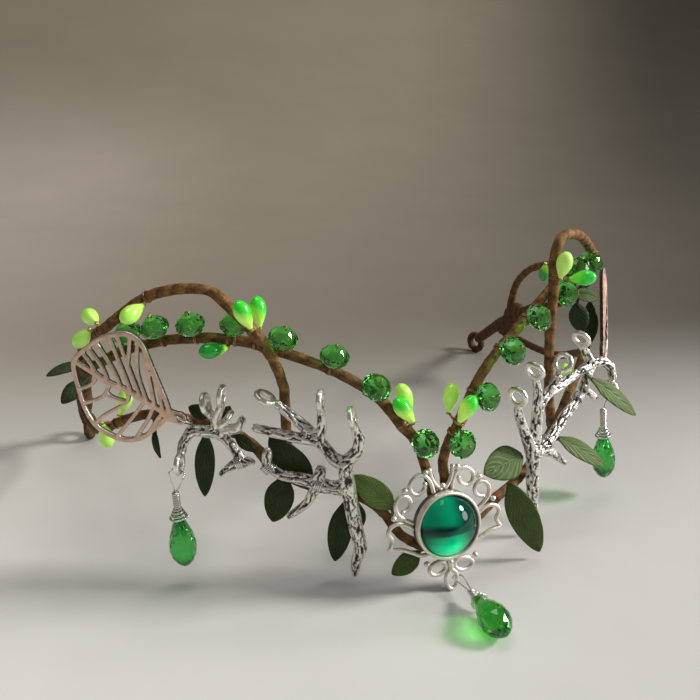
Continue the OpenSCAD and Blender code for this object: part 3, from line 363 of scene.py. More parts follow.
def frame_along(way):
    """Matrix whose columns turn +Z to a direction."""
    z = unit(way)
    x = unit(np.cross((0, 1, 0) if abs(z[1]) < 0.9 else (1, 0, 0), z))
    return np.stack([x, np.cross(z, x), z], axis=1)


def ball(centre, r, sides=10):
    """Points and faces of a ball whose poles are nearly closed."""
    a = np.linspace(0.02, math.pi - 0.02, sides // 2 + 2)
    co = turned(np.stack([-r * np.cos(a), r * np.sin(a)], axis=1), sides)
    return co + np.asarray(centre, float), skin(co.shape[:2])


class Shape:
    """Points in millimetres, faces and per-point layers of one piece."""

    def __init__(self):
        self.co, self.faces, self.layers = [], [], {}

    def add(self, co, faces, **layers):
        first = sum(len(c) for c in self.co)
        co = np.asarray(co, float).reshape(-1, 3)
        self.co.append(co)
        self.faces += [tuple(first + i for i in f) for f in faces]
        for key, values in layers.items():
            values = np.asarray(values, float)
            if values.ndim == 0:
                values = np.full(len(co), float(values))
            self.layers.setdefault(key, []).append(values.reshape(len(co), -1))
        return self

    def build(self, name, look, slot, nodes=(), flat=False):
        mesh = bpy.data.meshes.new(name)
        co = (np.concatenate(self.co) + SHIFT) * MM
        mesh.from_pydata(co.tolist(), [], self.faces)
        dress(mesh, {k: np.concatenate(v) for k, v in self.layers.items()})
        return piece(name, mesh, look, nodes, flat)


def dress(mesh, layers):
    """Writes per-point layers; one that has two columns becomes a UV map."""
    loops = np.empty(len(mesh.loops), int)
    mesh.loops.foreach_get("vertex_index", loops)
    for key, values in layers.items():
        if values.shape[1] == 2:
            mesh.uv_layers.new(name=key).data.foreach_set("uv", values[loops].ravel())
        else:
            made = mesh.attributes.new(key, "FLOAT", "POINT")
            made.data.foreach_set("value", values.ravel())


def piece(name, mesh, look, nodes=(), flat=False):
    """A shown piece of the diadem that rides on its one body."""
    mesh.polygons.foreach_set("use_smooth", [not flat] * len(mesh.polygons))
    mesh.materials.clear()
    mesh.materials.append(look)
    mesh.update()
    obj = bpy.data.objects.new(name, mesh)
    bpy.context.scene.collection.objects.link(obj)
    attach(obj, "root")
    if nodes:
        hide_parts(*nodes)
    return obj


# Materials

def feed(tree, node, key, value):
    """Gives an input of a node its value: a socket to link, or a constant."""
    if isinstance(value, bpy.types.NodeSocket):
        tree.links.new(value, node.inputs[key])
    else:
        node.inputs[key].default_value = value


def add(tree, kind, inputs=None, **settings):
    """Adds a shader node with its settings and inputs, each a value or a socket."""
    node = tree.nodes.new("ShaderNode" + kind)
    for key, value in settings.items():
        setattr(node, key, value)
    for key, value in (inputs or {}).items():
        feed(tree, node, key, value)
    return node


def connect(tree, node, **sockets):
    """Links sockets to a node's inputs; an underscore stands for a space."""
    for key, socket in sockets.items():
        tree.links.new(socket, node.inputs[key.replace("_", " ")])


def rgb(colour):
    return (*colour, 1.0)


def mix(tree, factor, a, b):
    """Mixes two colours by a factor; each is a socket or three numbers."""
    colours = [c if isinstance(c, bpy.types.NodeSocket) else rgb(c) for c in (a, b)]
    return add(tree, "Mix", {0: factor, 6: colours[0], 7: colours[1]},
               data_type="RGBA").outputs[2]


def ramp(tree, value, low, high, to_low=0.0, to_high=1.0):
    """Takes low to to_low and high to to_high, and holds at both ends."""
    return add(tree, "MapRange", {"Value": value, "From Min": low, "From Max": high,
                                  "To Min": to_low, "To Max": to_high}).outputs["Result"]


def maths(tree, operation, a, b=0.0):
    return add(tree, "Math", {0: a, 1: b}, operation=operation).outputs[0]


def part_of(tree, value, share):
    return maths(tree, "MULTIPLY", value, share)


def layer(tree, name):
    """Values that the piece's mesh carries at each point."""
    return add(tree, "Attribute", attribute_name=name).outputs["Fac"]


def group(name, inputs, outputs, fill):
    """A node group; fill gets the tree, its input sockets and its output node."""
    tree = bpy.data.node_groups.new(name, "ShaderNodeTree")
    for key, kind, value in inputs:
        tree.interface.new_socket(key, in_out="INPUT", socket_type=kind).default_value = value
    for key, kind in outputs:
        tree.interface.new_socket(key, in_out="OUTPUT", socket_type=kind)
    source = tree.nodes.new("NodeGroupInput")
    fill(tree, source.outputs, tree.nodes.new("NodeGroupOutput"))
    return tree


def use(tree, made, **inputs):
    """Places a node group in a material and gives its outputs."""
    return add(tree, "Group", inputs, node_tree=made).outputs


# Height of bumps in metres, and how much finer the specks are than the patches
BUMP_HEIGHT = 0.0004
SPECK_FINENESS = 4.5


def fill_grain(tree, given, out):
    """Soft patches, fine specks and a bump from them, by place on the object."""
    place = add(tree, "TexCoord").outputs["Object"]
    patches = add(tree, "TexNoise", {"Vector": place, "Scale": given["Scale"], "Detail": 4.0,
                                     "Roughness": 0.6}).outputs["Fac"]
    fine = part_of(tree, given["Scale"], SPECK_FINENESS)
    specks = add(tree, "TexNoise", {"Vector": place, "Scale": fine, "Detail": 3.0,
                                    "Roughness": 0.65}).outputs["Fac"]
    both = maths(tree, "ADD", part_of(tree, patches, 0.55), part_of(tree, specks, 0.45))
    bump = add(tree, "Bump", {"Height": both, "Strength": given["Depth"],
                              "Distance": BUMP_HEIGHT})
    connect(tree, out, Patches=ramp(tree, patches, 0.35, 0.68),
            Specks=ramp(tree, specks, 0.4, 0.66), Normal=bump.outputs["Normal"])


GRAIN = group("grain", [("Scale", "NodeSocketFloat", 300.0), ("Depth", "NodeSocketFloat", 0.5)],
              [("Patches", "NodeSocketFloat"), ("Specks", "NodeSocketFloat"),
               ("Normal", "NodeSocketVector")], fill_grain)


def fill_patina(tree, given, out):
    """Dark oxide in the pits of cast metal, and painted shade where a piece's layer holds it, with
    a thin veil over the rest.
    """
    grain = use(tree, GRAIN, Scale=given["Scale"], Depth=0.35)
    veil = part_of(tree, grain["Patches"], given["Veil"])
    dark = maths(tree, "MAXIMUM", layer(tree, "pit"), veil)
    connect(tree, out, Colour=mix(tree, dark, given["Bright"], given["Dark"]), Oxide=dark,
            Normal=grain["Normal"])


PATINA = group("patina", [("Scale", "NodeSocketFloat", 400.0), ("Veil", "NodeSocketFloat", 0.2),
                          ("Bright", "NodeSocketColor", rgb((0.8, 0.76, 0.7))),
                          ("Dark", "NodeSocketColor", rgb((0.03, 0.026, 0.022)))],
               [("Colour", "NodeSocketColor"), ("Oxide", "NodeSocketFloat"),
                ("Normal", "NodeSocketVector")], fill_patina)


def fill_veins(tree, given, out):
    """Midrib and side veins of a leaf from its own blade coordinates, and a pillow mask that rises
    between the veins, used for painted shade in the folds and for bumps.
    """
    blade = add(tree, "SeparateXYZ", {0: add(tree, "UVMap", uv_map="blade").outputs["UV"]})
    off = maths(tree, "ABSOLUTE", maths(tree, "SUBTRACT", blade.outputs["X"], 0.5))
    rib = ramp(tree, off, 0.012, 0.035, 1.0, 0.0)
    lane = maths(tree, "SUBTRACT", part_of(tree, blade.outputs["Y"], given["Count"]),
                 part_of(tree, off, given["Slant"]))
    tooth = maths(tree, "ABSOLUTE", maths(tree, "SUBTRACT", maths(tree, "FRACT", lane), 0.5))
    side = ramp(tree, tooth, 0.06, 0.14, 1.0, 0.0)
    pillow = ramp(tree, tooth, 0.0, 0.5)
    edge = ramp(tree, off, 0.36, 0.5, 1.0, 0.0)
    vein = maths(tree, "MAXIMUM", rib, part_of(tree, side, edge))
    connect(tree, out, Vein=vein, Pillow=pillow)


VEINS = group("veins", [("Count", "NodeSocketFloat", 8.0), ("Slant", "NodeSocketFloat", 5.0)],
              [("Vein", "NodeSocketFloat"), ("Pillow", "NodeSocketFloat")], fill_veins)


def shader(name, **values):
    """A material, its nodes and its Principled shader; values are constant sockets of that."""
    look = bpy.data.materials.new(name)
    look.use_nodes = True
    bsdf = look.node_tree.nodes["Principled BSDF"]
    for key, value in values.items():
        bsdf.inputs[key.replace("_", " ")].default_value = value
    return look, look.node_tree, bsdf


def paper_tape():
    """Brown paper tape: painted highlight in tan on the crest of each turn and painted shade in
    the hollows, stained, and darker where its shade layer holds darker tape and painted shade.
    """
    look, tree, bsdf = shader("paper_tape", Roughness=0.68, Specular_IOR_Level=0.18)
    # Painted light on the tape: a tan highlight on the crests and dark painted shade in the
    # hollows
    hollow_shade, highlight_tan = (0.032, 0.014, 0.005), (0.35, 0.18, 0.052)
    # The dark tape colour stands partly for darker tape and partly for painted shade on the far
    # wires
    stain, straw, shaded_dark_tape = (0.06, 0.027, 0.01), (0.33, 0.19, 0.085), (0.03, 0.012, 0.007)
    grain = use(tree, GRAIN, Scale=420.0, Depth=0.8)
    along_turns = add(tree, "Mapping", {
        "Vector": add(tree, "UVMap", uv_map="wrap").outputs["UV"], "Scale": (3.0, 22.0, 1.0)})
    fibre = add(tree, "TexNoise", {"Vector": along_turns.outputs["Vector"], "Scale": 3.0,
                                   "Detail": 3.0}).outputs["Fac"]
    lit = part_of(tree, layer(tree, "crest"), ramp(tree, fibre, 0.3, 0.65, 0.45, 1.0))
    clean = mix(tree, lit, hollow_shade, highlight_tan)
    stained = mix(tree, part_of(tree, grain["Patches"], 0.55), clean, stain)
    specked = mix(tree, part_of(tree, grain["Specks"], 0.22), stained, straw)
    connect(tree, bsdf, Base_Color=mix(tree, layer(tree, "shade"), specked, shaded_dark_tape),
            Normal=grain["Normal"])
    return look


OXIDE_ROUGH, OXIDE_METALLIC = 0.75, 0.3


def metal(name, bright, dark, scale, veil, rough):
    """Metal that is bright and smooth on its ridges and dull with oxide in its pits and where
    painted shade lies.
    """
    look, tree, bsdf = shader(name)
    made = use(tree, PATINA, Scale=scale, Veil=veil, Bright=rgb(bright), Dark=rgb(dark))
    connect(tree, bsdf, Base_Color=made["Colour"], Normal=made["Normal"],
            Roughness=ramp(tree, made["Oxide"], 0.0, 1.0, rough, OXIDE_ROUGH),
            Metallic=ramp(tree, made["Oxide"], 0.0, 1.0, 1.0, OXIDE_METALLIC))
    return look


def edged_copper():
    """Dusty copper whose cut edges are bright silver."""
    look = metal("antique_copper", (0.76, 0.53, 0.41), (0.05, 0.028, 0.018), scale=420.0,
                 veil=0.25, rough=0.42)
    tree, colour = look.node_tree, look.node_tree.nodes["Principled BSDF"].inputs["Base Color"]
    edge_silver = (0.95, 0.9, 0.84)
    tree.links.new(mix(tree, layer(tree, "edge"), colour.links[0].from_socket, edge_silver), colour)
    return look


GLASS_CLOUD, GLASS_DARKER = 0.35, 0.55
SHADOW_CLEARNESS = 0.9


def glass(name, colour, shadow, ior=1.52):
    """Clear tinted glass that casts a tinted shadow in place of a black one."""
    look, tree, bsdf = shader(name, Roughness=0.02, IOR=ior, Transmission_Weight=1.0)
    grain = use(tree, GRAIN, Scale=160.0, Depth=0.05)
    darker = tuple(GLASS_DARKER * c for c in colour)
    tint = mix(tree, part_of(tree, grain["Patches"], GLASS_CLOUD), colour, darker)
    connect(tree, bsdf, Base_Color=tint)
    clear = add(tree, "BsdfTransparent", {"Color": rgb(shadow)})
    ray = add(tree, "LightPath").outputs["Is Shadow Ray"]
    both = add(tree, "MixShader", {0: part_of(tree, ray, SHADOW_CLEARNESS),
                                   1: bsdf.outputs[0], 2: clear.outputs[0]})
    connect(tree, tree.nodes["Material Output"], Surface=both.outputs[0])
    return look


STONE_DIM, STONE_GLOW = 0.04, 0.75


def stone_look():
    """Emerald glass with painted light: it glows near its lower edge, where the light gathers, and
    dimly all over, with painted shade on a line and on its right side.
    """
    look, tree, bsdf = shader("emerald_stone", Roughness=0.04, IOR=1.5,
                              Specular_IOR_Level=0.32, Emission_Strength=STONE_GLOW)
    deep, middling = (0.0, 0.1, 0.055), (0.0, 0.155, 0.09)
    shaded, bright, black = (0.0, 0.02, 0.014), (0.0, 0.66, 0.28), (0.0, 0.0, 0.0)
    glow = layer(tree, "glow")
    grain = use(tree, GRAIN, Scale=110.0, Depth=0.0)
    body = mix(tree, ramp(tree, grain["Patches"], 0.2, 0.9), deep, middling)
    # Painted shade on a line across the stone and on its right side
    banded = mix(tree, layer(tree, "band"), body, shaded)
    lit = mix(tree, glow, banded, bright)
    # Painted light: the stone glows, brightest where the light gathers
    shine = ramp(tree, glow, 0.0, 1.0, STONE_DIM / STONE_GLOW, 1.0)
    connect(tree, bsdf, Base_Color=lit, Emission_Color=mix(tree, shine, black, lit))
    return look


BUD_TURN_BEFORE, BUD_TURN_AFTER = 0.14, 0.2


def bud_look(name, base, tip, turn, clear=0.0):
    """Glazed bud that turns from one colour to another at a share of its length, and glows faintly
    in its own colour: painted light.
    """
    look, tree, bsdf = shader(
        name, Roughness=0.22, IOR=1.5, Coat_Weight=0.8, Coat_Roughness=0.06,
        Subsurface_Weight=0.2, Subsurface_Radius=(0.3, 1.0, 0.2), Subsurface_Scale=0.001,
        Transmission_Weight=clear, Emission_Strength=0.16)
    grain = use(tree, GRAIN, Scale=190.0, Depth=0.12)
    wave = maths(tree, "ADD", layer(tree, "along"), part_of(tree, grain["Patches"], 0.16))
    shade = mix(tree, ramp(tree, wave, turn - BUD_TURN_BEFORE, turn + BUD_TURN_AFTER), base, tip)
    # Painted light: the bud glows faintly in its own colour
    connect(tree, bsdf, Base_Color=shade, Emission_Color=shade, Normal=grain["Normal"])
    return look


def leaf_look(name, low, high, vein):
    """Cloth leaf with painted shade in its folds, a pale midrib and side veins."""
    look, tree, bsdf = shader(name, Roughness=0.5, Specular_IOR_Level=0.2, Sheen_Weight=0.03)
    grain = use(tree, GRAIN, Scale=320.0, Depth=0.5)
    lines = use(tree, VEINS, Count=VEIN_COUNT, Slant=VEIN_SLANT)
    # Painted shade: darker in the folds at the veins, lighter on the pads between them
    body = mix(tree, part_of(tree, lines["Pillow"], 0.6), low, high)
    worn = mix(tree, part_of(tree, grain["Patches"], 0.5), body, low)
    faint = part_of(tree, lines["Vein"], ramp(tree, grain["Patches"], 0.0, 1.0, 0.5, 0.2))
    height = maths(tree, "ADD", part_of(tree, lines["Pillow"], 0.5),
                   part_of(tree, lines["Vein"], 0.8))
    ridges = add(tree, "Bump", {"Height": height, "Strength": 0.9, "Distance": BUMP_HEIGHT,
                                "Normal": grain["Normal"]})
    connect(tree, bsdf, Base_Color=mix(tree, faint, worn, vein),
            Normal=ridges.outputs["Normal"])
    return look


TAPE = paper_tape()
SILVER = metal("antique_silver", (0.97, 0.92, 0.86), (0.04, 0.033, 0.026), scale=380.0,
               veil=0.08, rough=0.36)
BEZEL_SILVER = metal("setting_silver", (0.95, 0.87, 0.79), (0.05, 0.04, 0.03), scale=300.0,
                     veil=0.12, rough=0.42)
WIRE_SILVER = metal("silver_wire", (0.88, 0.86, 0.83), (0.1, 0.09, 0.08), scale=500.0,
                    veil=0.15, rough=0.2)
BINDING = metal("binding_wire", (0.5, 0.27, 0.13), (0.05, 0.025, 0.015), scale=500.0,
                veil=0.4, rough=0.35)
COPPER = edged_copper()
BEAD_GLASS = glass("bead_glass", (0.16, 0.74, 0.13), (0.12, 0.32, 0.14))
DROP_GLASS = glass("drop_glass", (0.06, 0.6, 0.09), (0.12, 0.3, 0.12), ior=1.58)
LOW_DROP_GLASS = glass("low_drop_glass", (0.045, 0.42, 0.035), (0.2, 0.6, 0.13), ior=1.62)
STONE = stone_look()
BUD_LOOKS = {
    "two_tone": bud_look("bud_two_tone", (0.56, 0.96, 0.12), (0.03, 0.6, 0.02), turn=0.56),
    "lime": bud_look("bud_lime", (0.5, 0.85, 0.14), (0.4, 0.78, 0.1), turn=0.6),
    "pale": bud_look("bud_pale", (0.52, 0.82, 0.14), (0.46, 0.76, 0.14), turn=0.6),
    "deep": bud_look("bud_deep", (0.35, 0.8, 0.06), (0.008, 0.26, 0.02), turn=0.34),
    "clear": bud_look("bud_clear", (0.25, 0.88, 0.06), (0.02, 0.66, 0.05), turn=0.5, clear=0.4),
}
# The tones are partly the cloths' own colours and partly painted light: the dark tone also stands
# for leaves that lie in shade
LEAF_LOOKS = {
    "dark": leaf_look("leaf_dark", (0.014, 0.024, 0.006), (0.04, 0.062, 0.018),
                      (0.085, 0.12, 0.04)),
    "light": leaf_look("leaf_light", (0.04, 0.072, 0.014), (0.1, 0.155, 0.035),
                       (0.19, 0.26, 0.09)),
    "bright": leaf_look("leaf_bright", (0.09, 0.14, 0.03), (0.2, 0.27, 0.075),
                        (0.34, 0.42, 0.17)),
    "pale": leaf_look("leaf_pale", (0.08, 0.12, 0.035), (0.17, 0.23, 0.075), (0.3, 0.36, 0.15)),
}


# Wrapped wires

WRAP_PITCH, WRAP_SIDES = 4.6, 18
WRAP_ANGLES = np.arange(WRAP_SIDES) * 2 * math.pi / WRAP_SIDES
# Relief of the tape: step at each turn, soft lumps, wrinkles, and how deep it is pressed on
TAPE_STEP, TAPE_LUMP, TAPE_WRINKLE, TAPE_SUNK = 0.19, 0.14, 0.13, 0.08
# Length along the wire over which lumps, the drift of the turns and wrinkles change
LUMP_LENGTH, DRIFT_LENGTH, WRINKLE_LENGTH = 7.0, 11.0, 1.5
# Drift in turns, share of a turn in which the step rises, and wrinkles round the wire
DRIFT, STEP_RISE, WRINKLE_ROUND = 0.35, 0.12, 2.8
# Millimetres of wire for each unit of the UV map
UV_LENGTH = 30
RING_SPACING = 0.5
# Swellings where tape covers a joint: share of the length, extra radius, half length
SWELL = {
    "band_left": [(0.02, 0.3, 4), (0.33, 0.3, 4), (1.0, 0.35, 6)],
    "band_right": [(0.02, 0.3, 4), (0.42, 0.3, 4), (1.0, 0.35, 6)],
    "bead_wire_left": [(0.18, 0.25, 3), (0.44, 0.35, 4), (1.0, 0.4, 6)],
    "bead_wire_right": [(0.18, 0.25, 3), (0.62, 0.35, 4), (1.0, 0.4, 6)],
    "arch_left": [(0.0, 0.4, 4), (0.24, 0.3, 4), (1.0, 0.3, 5)],
    "arch_right": [(0.0, 0.4, 4), (0.28, 0.3, 4), (1.0, 0.3, 5)],
    "tail_left": [(0.0, 0.2, 5), (0.55, 0.3, 5), (1.0, -0.2, 4)],
    "tail_right": [(0.0, 0.2, 5), (0.55, 0.3, 5), (1.0, -0.2, 4)],
}
# Darkness of each wire's tape at its start, and the share of the length where it grows; the
# darkness is partly darker tape and partly painted shade, most on the far ends and tails
TAPE_SHADE = {"band_left": (0.25, 0.6), "band_right": (0.2, 0.6),
              "bead_wire_left": (0.25, 0.8), "bead_wire_right": (0.1, 0.8),
              "arch_left": (0.0, 0.8), "arch_right": (0.0, 0.8)}
SHADE_GROWTH = 0.25
# Darkness of the far ends, eyelets and tails: partly darker tape, partly painted shade
DARK_TAPE, TAIL_TAPE = 0.6, 0.55
EYELET_RINGS, EYELET_SHRINK = 44, 0.06
# Tape round a tail and a wire's end: rings before and after it, height over the tail and
# over the wire, how far it is sunk at its ends, and the spread of the bulge in radians
JOINT_BEFORE, JOINT_AFTER = 18, 9
JOINT_OVER_TAIL, JOINT_OVER_WIRE, JOINT_SUNK, JOINT_SPREAD = 0.2, 0.15, 0.3, 0.75


def wrap_relief(s, seed):
    """Height of tape wound in a helix, at the distances s along a wire, and its painted light: a
    highlight on the crest of each turn and painted shade in the hollows and wrinkles.
    """
    lump = np.array([noise.noise(Vector((x / LUMP_LENGTH, seed, 0.0))) for x in s])
    drift = np.array([noise.noise(Vector((x / DRIFT_LENGTH, seed, 5.0))) for x in s])
    phase = (s[:, None] / WRAP_PITCH + WRAP_ANGLES[None, :] / (2 * math.pi)
             + DRIFT * drift[:, None]) % 1.0
    rise = np.clip(phase / STEP_RISE, 0, 1)
    height = TAPE_STEP * rise * (1 - 0.6 * phase) + TAPE_LUMP * lump[:, None]
    round_wire = [(WRINKLE_ROUND * math.cos(a), WRINKLE_ROUND * math.sin(a) + seed)
                  for a in WRAP_ANGLES]
    wrinkle = np.array([[noise.noise(Vector((x / WRINKLE_LENGTH, y, z))) for y, z in round_wire]
                        for x in s])
    # Painted highlight on each crest, painted shade in the hollows and wrinkles
    crest = np.clip(rise * (1.1 - 0.9 * phase) + 0.7 * wrinkle, 0, 1)
    return height + TAPE_WRINKLE * wrinkle, crest


def tape(shape, route, r, seed, shade, closed=False, first=(0, -1, 0)):
    """Adds a skin of tape; r is the radius without the relief, for each ring and side."""
    s = lengths(route)
    height, crest = wrap_relief(s, seed)
    co, faces = tube(route, r + height, WRAP_SIDES, closed, first)
    wrap = np.stack(np.broadcast_arrays(WRAP_ANGLES[None, :] / (2 * math.pi),
                                        s[:, None] / UV_LENGTH), axis=-1)
    shape.add(co, faces, crest=crest, shade=shade, wrap=wrap)


def tape_shade(name, rings):
    """Darkness of the tape for each ring of a wire: partly darker tape, partly painted shade."""
    if name in EYELETS:
        return np.full(rings, TAIL_TAPE)
    tone, start = TAPE_SHADE[name]
    grown = np.clip((np.linspace(0, 1, rings) - start) / SHADE_GROWTH, 0, 1)
    return tone + (DARK_TAPE - tone) * grown


def wire_tape(shape, name, route, seed):
    s = lengths(route)
    r = np.full(len(s), float(TAIL_R if name in EYELETS else WIRE_R))
    for share, extra, half in SWELL[name]:
        r += extra * np.exp(-((s - share * s[-1]) / half) ** 2)
    tape(shape, route, r[:, None] - TAPE_SUNK, seed,
         np.repeat(tape_shade(name, len(s)), WRAP_SIDES))


def eyelet_tape(shape, centre, turn, seed):
    turn = math.radians(turn)
    across, upright = np.array([math.cos(turn), math.sin(turn), 0]), np.array([0, 0, 1])
    circle = [np.array(centre) + EYELET_ROUTE_R * (math.cos(a) * across + math.sin(a) * upright)
              for a in np.linspace(0, 2 * math.pi, EYELET_RINGS, endpoint=False)]
    tape(shape, np.array(circle), EYELET_WIRE_R - EYELET_SHRINK - TAPE_SUNK, seed, DARK_TAPE,
         closed=True, first=np.cross(across, upright))


def joint_tape(shape, tail, end, seed):
    """Tape round a tail and the end of a thinner wire that lies beside it."""
    i = int(np.argmin(np.linalg.norm(tail - end, axis=1)))
    part = tail[max(i - JOINT_BEFORE, 0):i + JOINT_AFTER]
    aside = end - tail[i]
    way = unit(part[-1] - part[0])
    aside = aside - way * (aside @ way)
    over = TAIL_R + JOINT_OVER_TAIL
    reach = np.linalg.norm(aside) + WIRE_R + JOINT_OVER_WIRE
    turn = np.minimum(WRAP_ANGLES, 2 * math.pi - WRAP_ANGLES)
    r = over + (reach - over) * np.exp(-(turn / JOINT_SPREAD) ** 2)[None, :]
    full = np.sin(math.pi * np.linspace(0.04, 0.96, len(part)))[:, None] ** 0.35
    tape(shape, part, (TAIL_R - JOINT_SUNK) * (1 - full) + r * full, seed, DARK_TAPE,
         first=aside)


for seed, (name, points) in enumerate(WIRES.items()):
    shape = Shape()
    route = even(smooth(points, 12), RING_SPACING)
    wire_tape(shape, name, route, seed * 7.3)
    if name in EYELETS:
        eyelet_tape(shape, *EYELETS[name], seed * 3.1)
        for wire in ("band_", "arch_"):
            joint_tape(shape, route, np.array(WIRES[name.replace("tail_", wire)][-1]), seed)
    shape.build(name + "_tape", TAPE, "paper_tape", [name])

# Routes that carry small pieces; the twig's is the part that a leaf stands on
SEATS = {name: smooth(points, 8) for name, points in WIRES.items()}
SEATS["twig"] = smooth([(60.2, 26.5, 42.3), (58.6, 25.5, 38.3)], 8)


# Small wires

def helix(base, way, r, pitch, turns, steps=14, phase=0.0):
    """Route of a coil; r is one radius or the radii at its two ends."""
    r0, r1 = r if isinstance(r, tuple) else (r, r)
    m = frame_along(way)
    t = np.linspace(0, 1, int(turns * steps) + 1)
    a = 2 * math.pi * turns * t + phase
    radius = r0 + (r1 - r0) * t
    local = np.stack([radius * np.cos(a), radius * np.sin(a), pitch * turns * t], axis=1)
    return np.asarray(base, float) + local @ m.T


def thin(shape, route, r, sides=6):
    """Adds a plain thin wire."""
    co, faces = tube(route, r, sides)
    shape.add(co, faces, pit=0.0)


def bind(seat, way, r, turns, wire_r=0.16, pitch=0.36):
    """Turns of thin copper wire round a wrapped wire or a stalk."""
    way = unit(way)
    base = np.asarray(seat) - way * pitch * turns / 2
    thin(binding, helix(base, way, r, pitch, turns, 12), wire_r, 5)


def way_at(route, seat):
    """Direction of a route at its point nearest to the seat."""
    i = int(np.argmin(np.linalg.norm(route - seat, axis=1)))
    return unit(route[min(i + 1, len(route) - 1)] - route[max(i - 1, 0)])


binding = Shape()


# Faceted beads

BEAD_SIDES = 12
BEAD_END = 0.42
# Share of the half height and share of the radius
BEAD_PROFILE = [(-1, BEAD_END), (-0.62, 0.74), (-0.2, 0.96), (0.2, 0.96), (0.62, 0.74),
                (1, BEAD_END)]
# Wire eye above a bead: radius, height of its middle, half of its opening, wire radius
EYE_R, EYE_RISE, EYE_OPEN, EYE_WIRE_R = 0.5, 0.45, 0.3, 0.17
STEM_WIRE_R = 0.2
BEAD_BINDING = dict(r=WIRE_R + 0.28, turns=2.5)


def bead_centre(seat, away, axis):
    """Middle of a bead that clears its wire and leans from the direction away from it."""
    lean = axis @ away
    stand = BEAD_HALF * lean + BEAD_END * BEAD_R * math.sqrt(1 - lean * lean)
    return seat + away * (WIRE_R + GAP + stand)


def bead(side, k, wire, p):
    route = SEATS[wire]
    seat = nearest(route, p)
    away = unit(np.array(p) - seat)
    axis = unit(away + (0, 0, BEAD_UPRIGHT))
    centre = bead_centre(seat, away, axis)
    m = frame_along(axis)
    co = turned([(z * BEAD_HALF, r * BEAD_R) for z, r in BEAD_PROFILE], BEAD_SIDES, 0.5)
    shape = Shape().add(co.reshape(-1, 3) @ m.T + centre, faceted(co))
    node = f"bead_{side}_{k}"
    shape.build(node + "_glass", BEAD_GLASS, "green_glass", [node], flat=True)
    top, surface = centre + axis * (BEAD_HALF + 0.05), seat + away * WIRE_R
    tilt = 0.5 * k
    eye = [top + m @ np.array([EYE_R * math.sin(a) * math.cos(tilt),
                               EYE_R * math.sin(a) * math.sin(tilt),
                               EYE_RISE - EYE_R * math.cos(a)])
           for a in np.linspace(EYE_OPEN, 2 * math.pi - EYE_OPEN, 12)]
    thin(binding, np.array(eye), EYE_WIRE_R, 6)
    foot = centre - axis * (BEAD_HALF + 0.02)
    thin(binding, np.array([foot, (foot + surface) / 2, surface]), STEM_WIRE_R, 6)
    bind(seat, way_at(route, seat), **BEAD_BINDING)


for side, (wire, places) in BEADS.items():
    for k, p in enumerate(places, 1):
        bead(side, k, wire, p)


# Glazed buds

BUD_RINGS, BUD_SIDES = 25, 22
BUD_CLEARANCE = 0.5
# Share of the length by which the colours turn later on one side of a bud
SIDE_SHADE = 0.22
STALK_WIRE_R = 0.34
STALK_BINDING = dict(r=0.5, turns=2, wire_r=0.14, pitch=0.32)
BUD_BINDING = dict(r=WIRE_R + 0.26, turns=2, wire_r=0.15)


def clear_of(route, p, more):
    """Place near p that clears the wire, and the seat on the wire's middle."""
    seat = nearest(route, p)
    gap = np.array(p, float) - seat
    return seat + unit(gap) * max(np.linalg.norm(gap), WIRE_R + GAP + more), seat


def bud(shape, route, base, tip):
    foot, seat = clear_of(route, base, BUD_CLEARANCE)
    t = np.linspace(0, 1, BUD_RINGS)
    r = np.maximum(table(BUD_PROFILE, t), 0.02) * BUD_R
    co = turned(np.stack([t * BUD_LEN, r], axis=1), BUD_SIDES)
    m = frame_along(np.array(tip) - foot)
    way = m[:, 2]
    shape.add(co.reshape(-1, 3) @ m.T + foot, skin(co.shape[:2]),
              along=(t[:, None] + SIDE_SHADE * co[..., 0] / BUD_R).ravel())
    start = seat + unit(foot - seat) * WIRE_R
    thin(binding, np.array([start, (start + foot) / 2, foot + way * 0.8]), STALK_WIRE_R, 8)
    bind(foot + way * 0.35, way, **STALK_BINDING)
    bind(seat, way_at(route, seat), **BUD_BINDING)


bud_shapes = {}
for node, wire, base, tip, look in BUDS:
    bud(bud_shapes.setdefault((node, look), Shape()), SEATS[wire], base, tip)
for (node, look), shape in bud_shapes.items():
    shape.build(f"{node}_{look}", BUD_LOOKS[look], "bud_glass", [node])


# Cloth leaves

LEAF_ROWS, LEAF_COLUMNS = 33, 15
# Depths of the uneven surface, of the pads between veins and of the groove along the midrib
LEAF_FLUTTER, LEAF_PAD, LEAF_GROOVE, GROOVE_HALF_WIDTH = 0.22, 0.16, 0.16, 0.12
LEAF_CUP = 0.08
# One place on the blade, between veins, whose colour the whole stalk has
PETIOLE_UV = 0.25


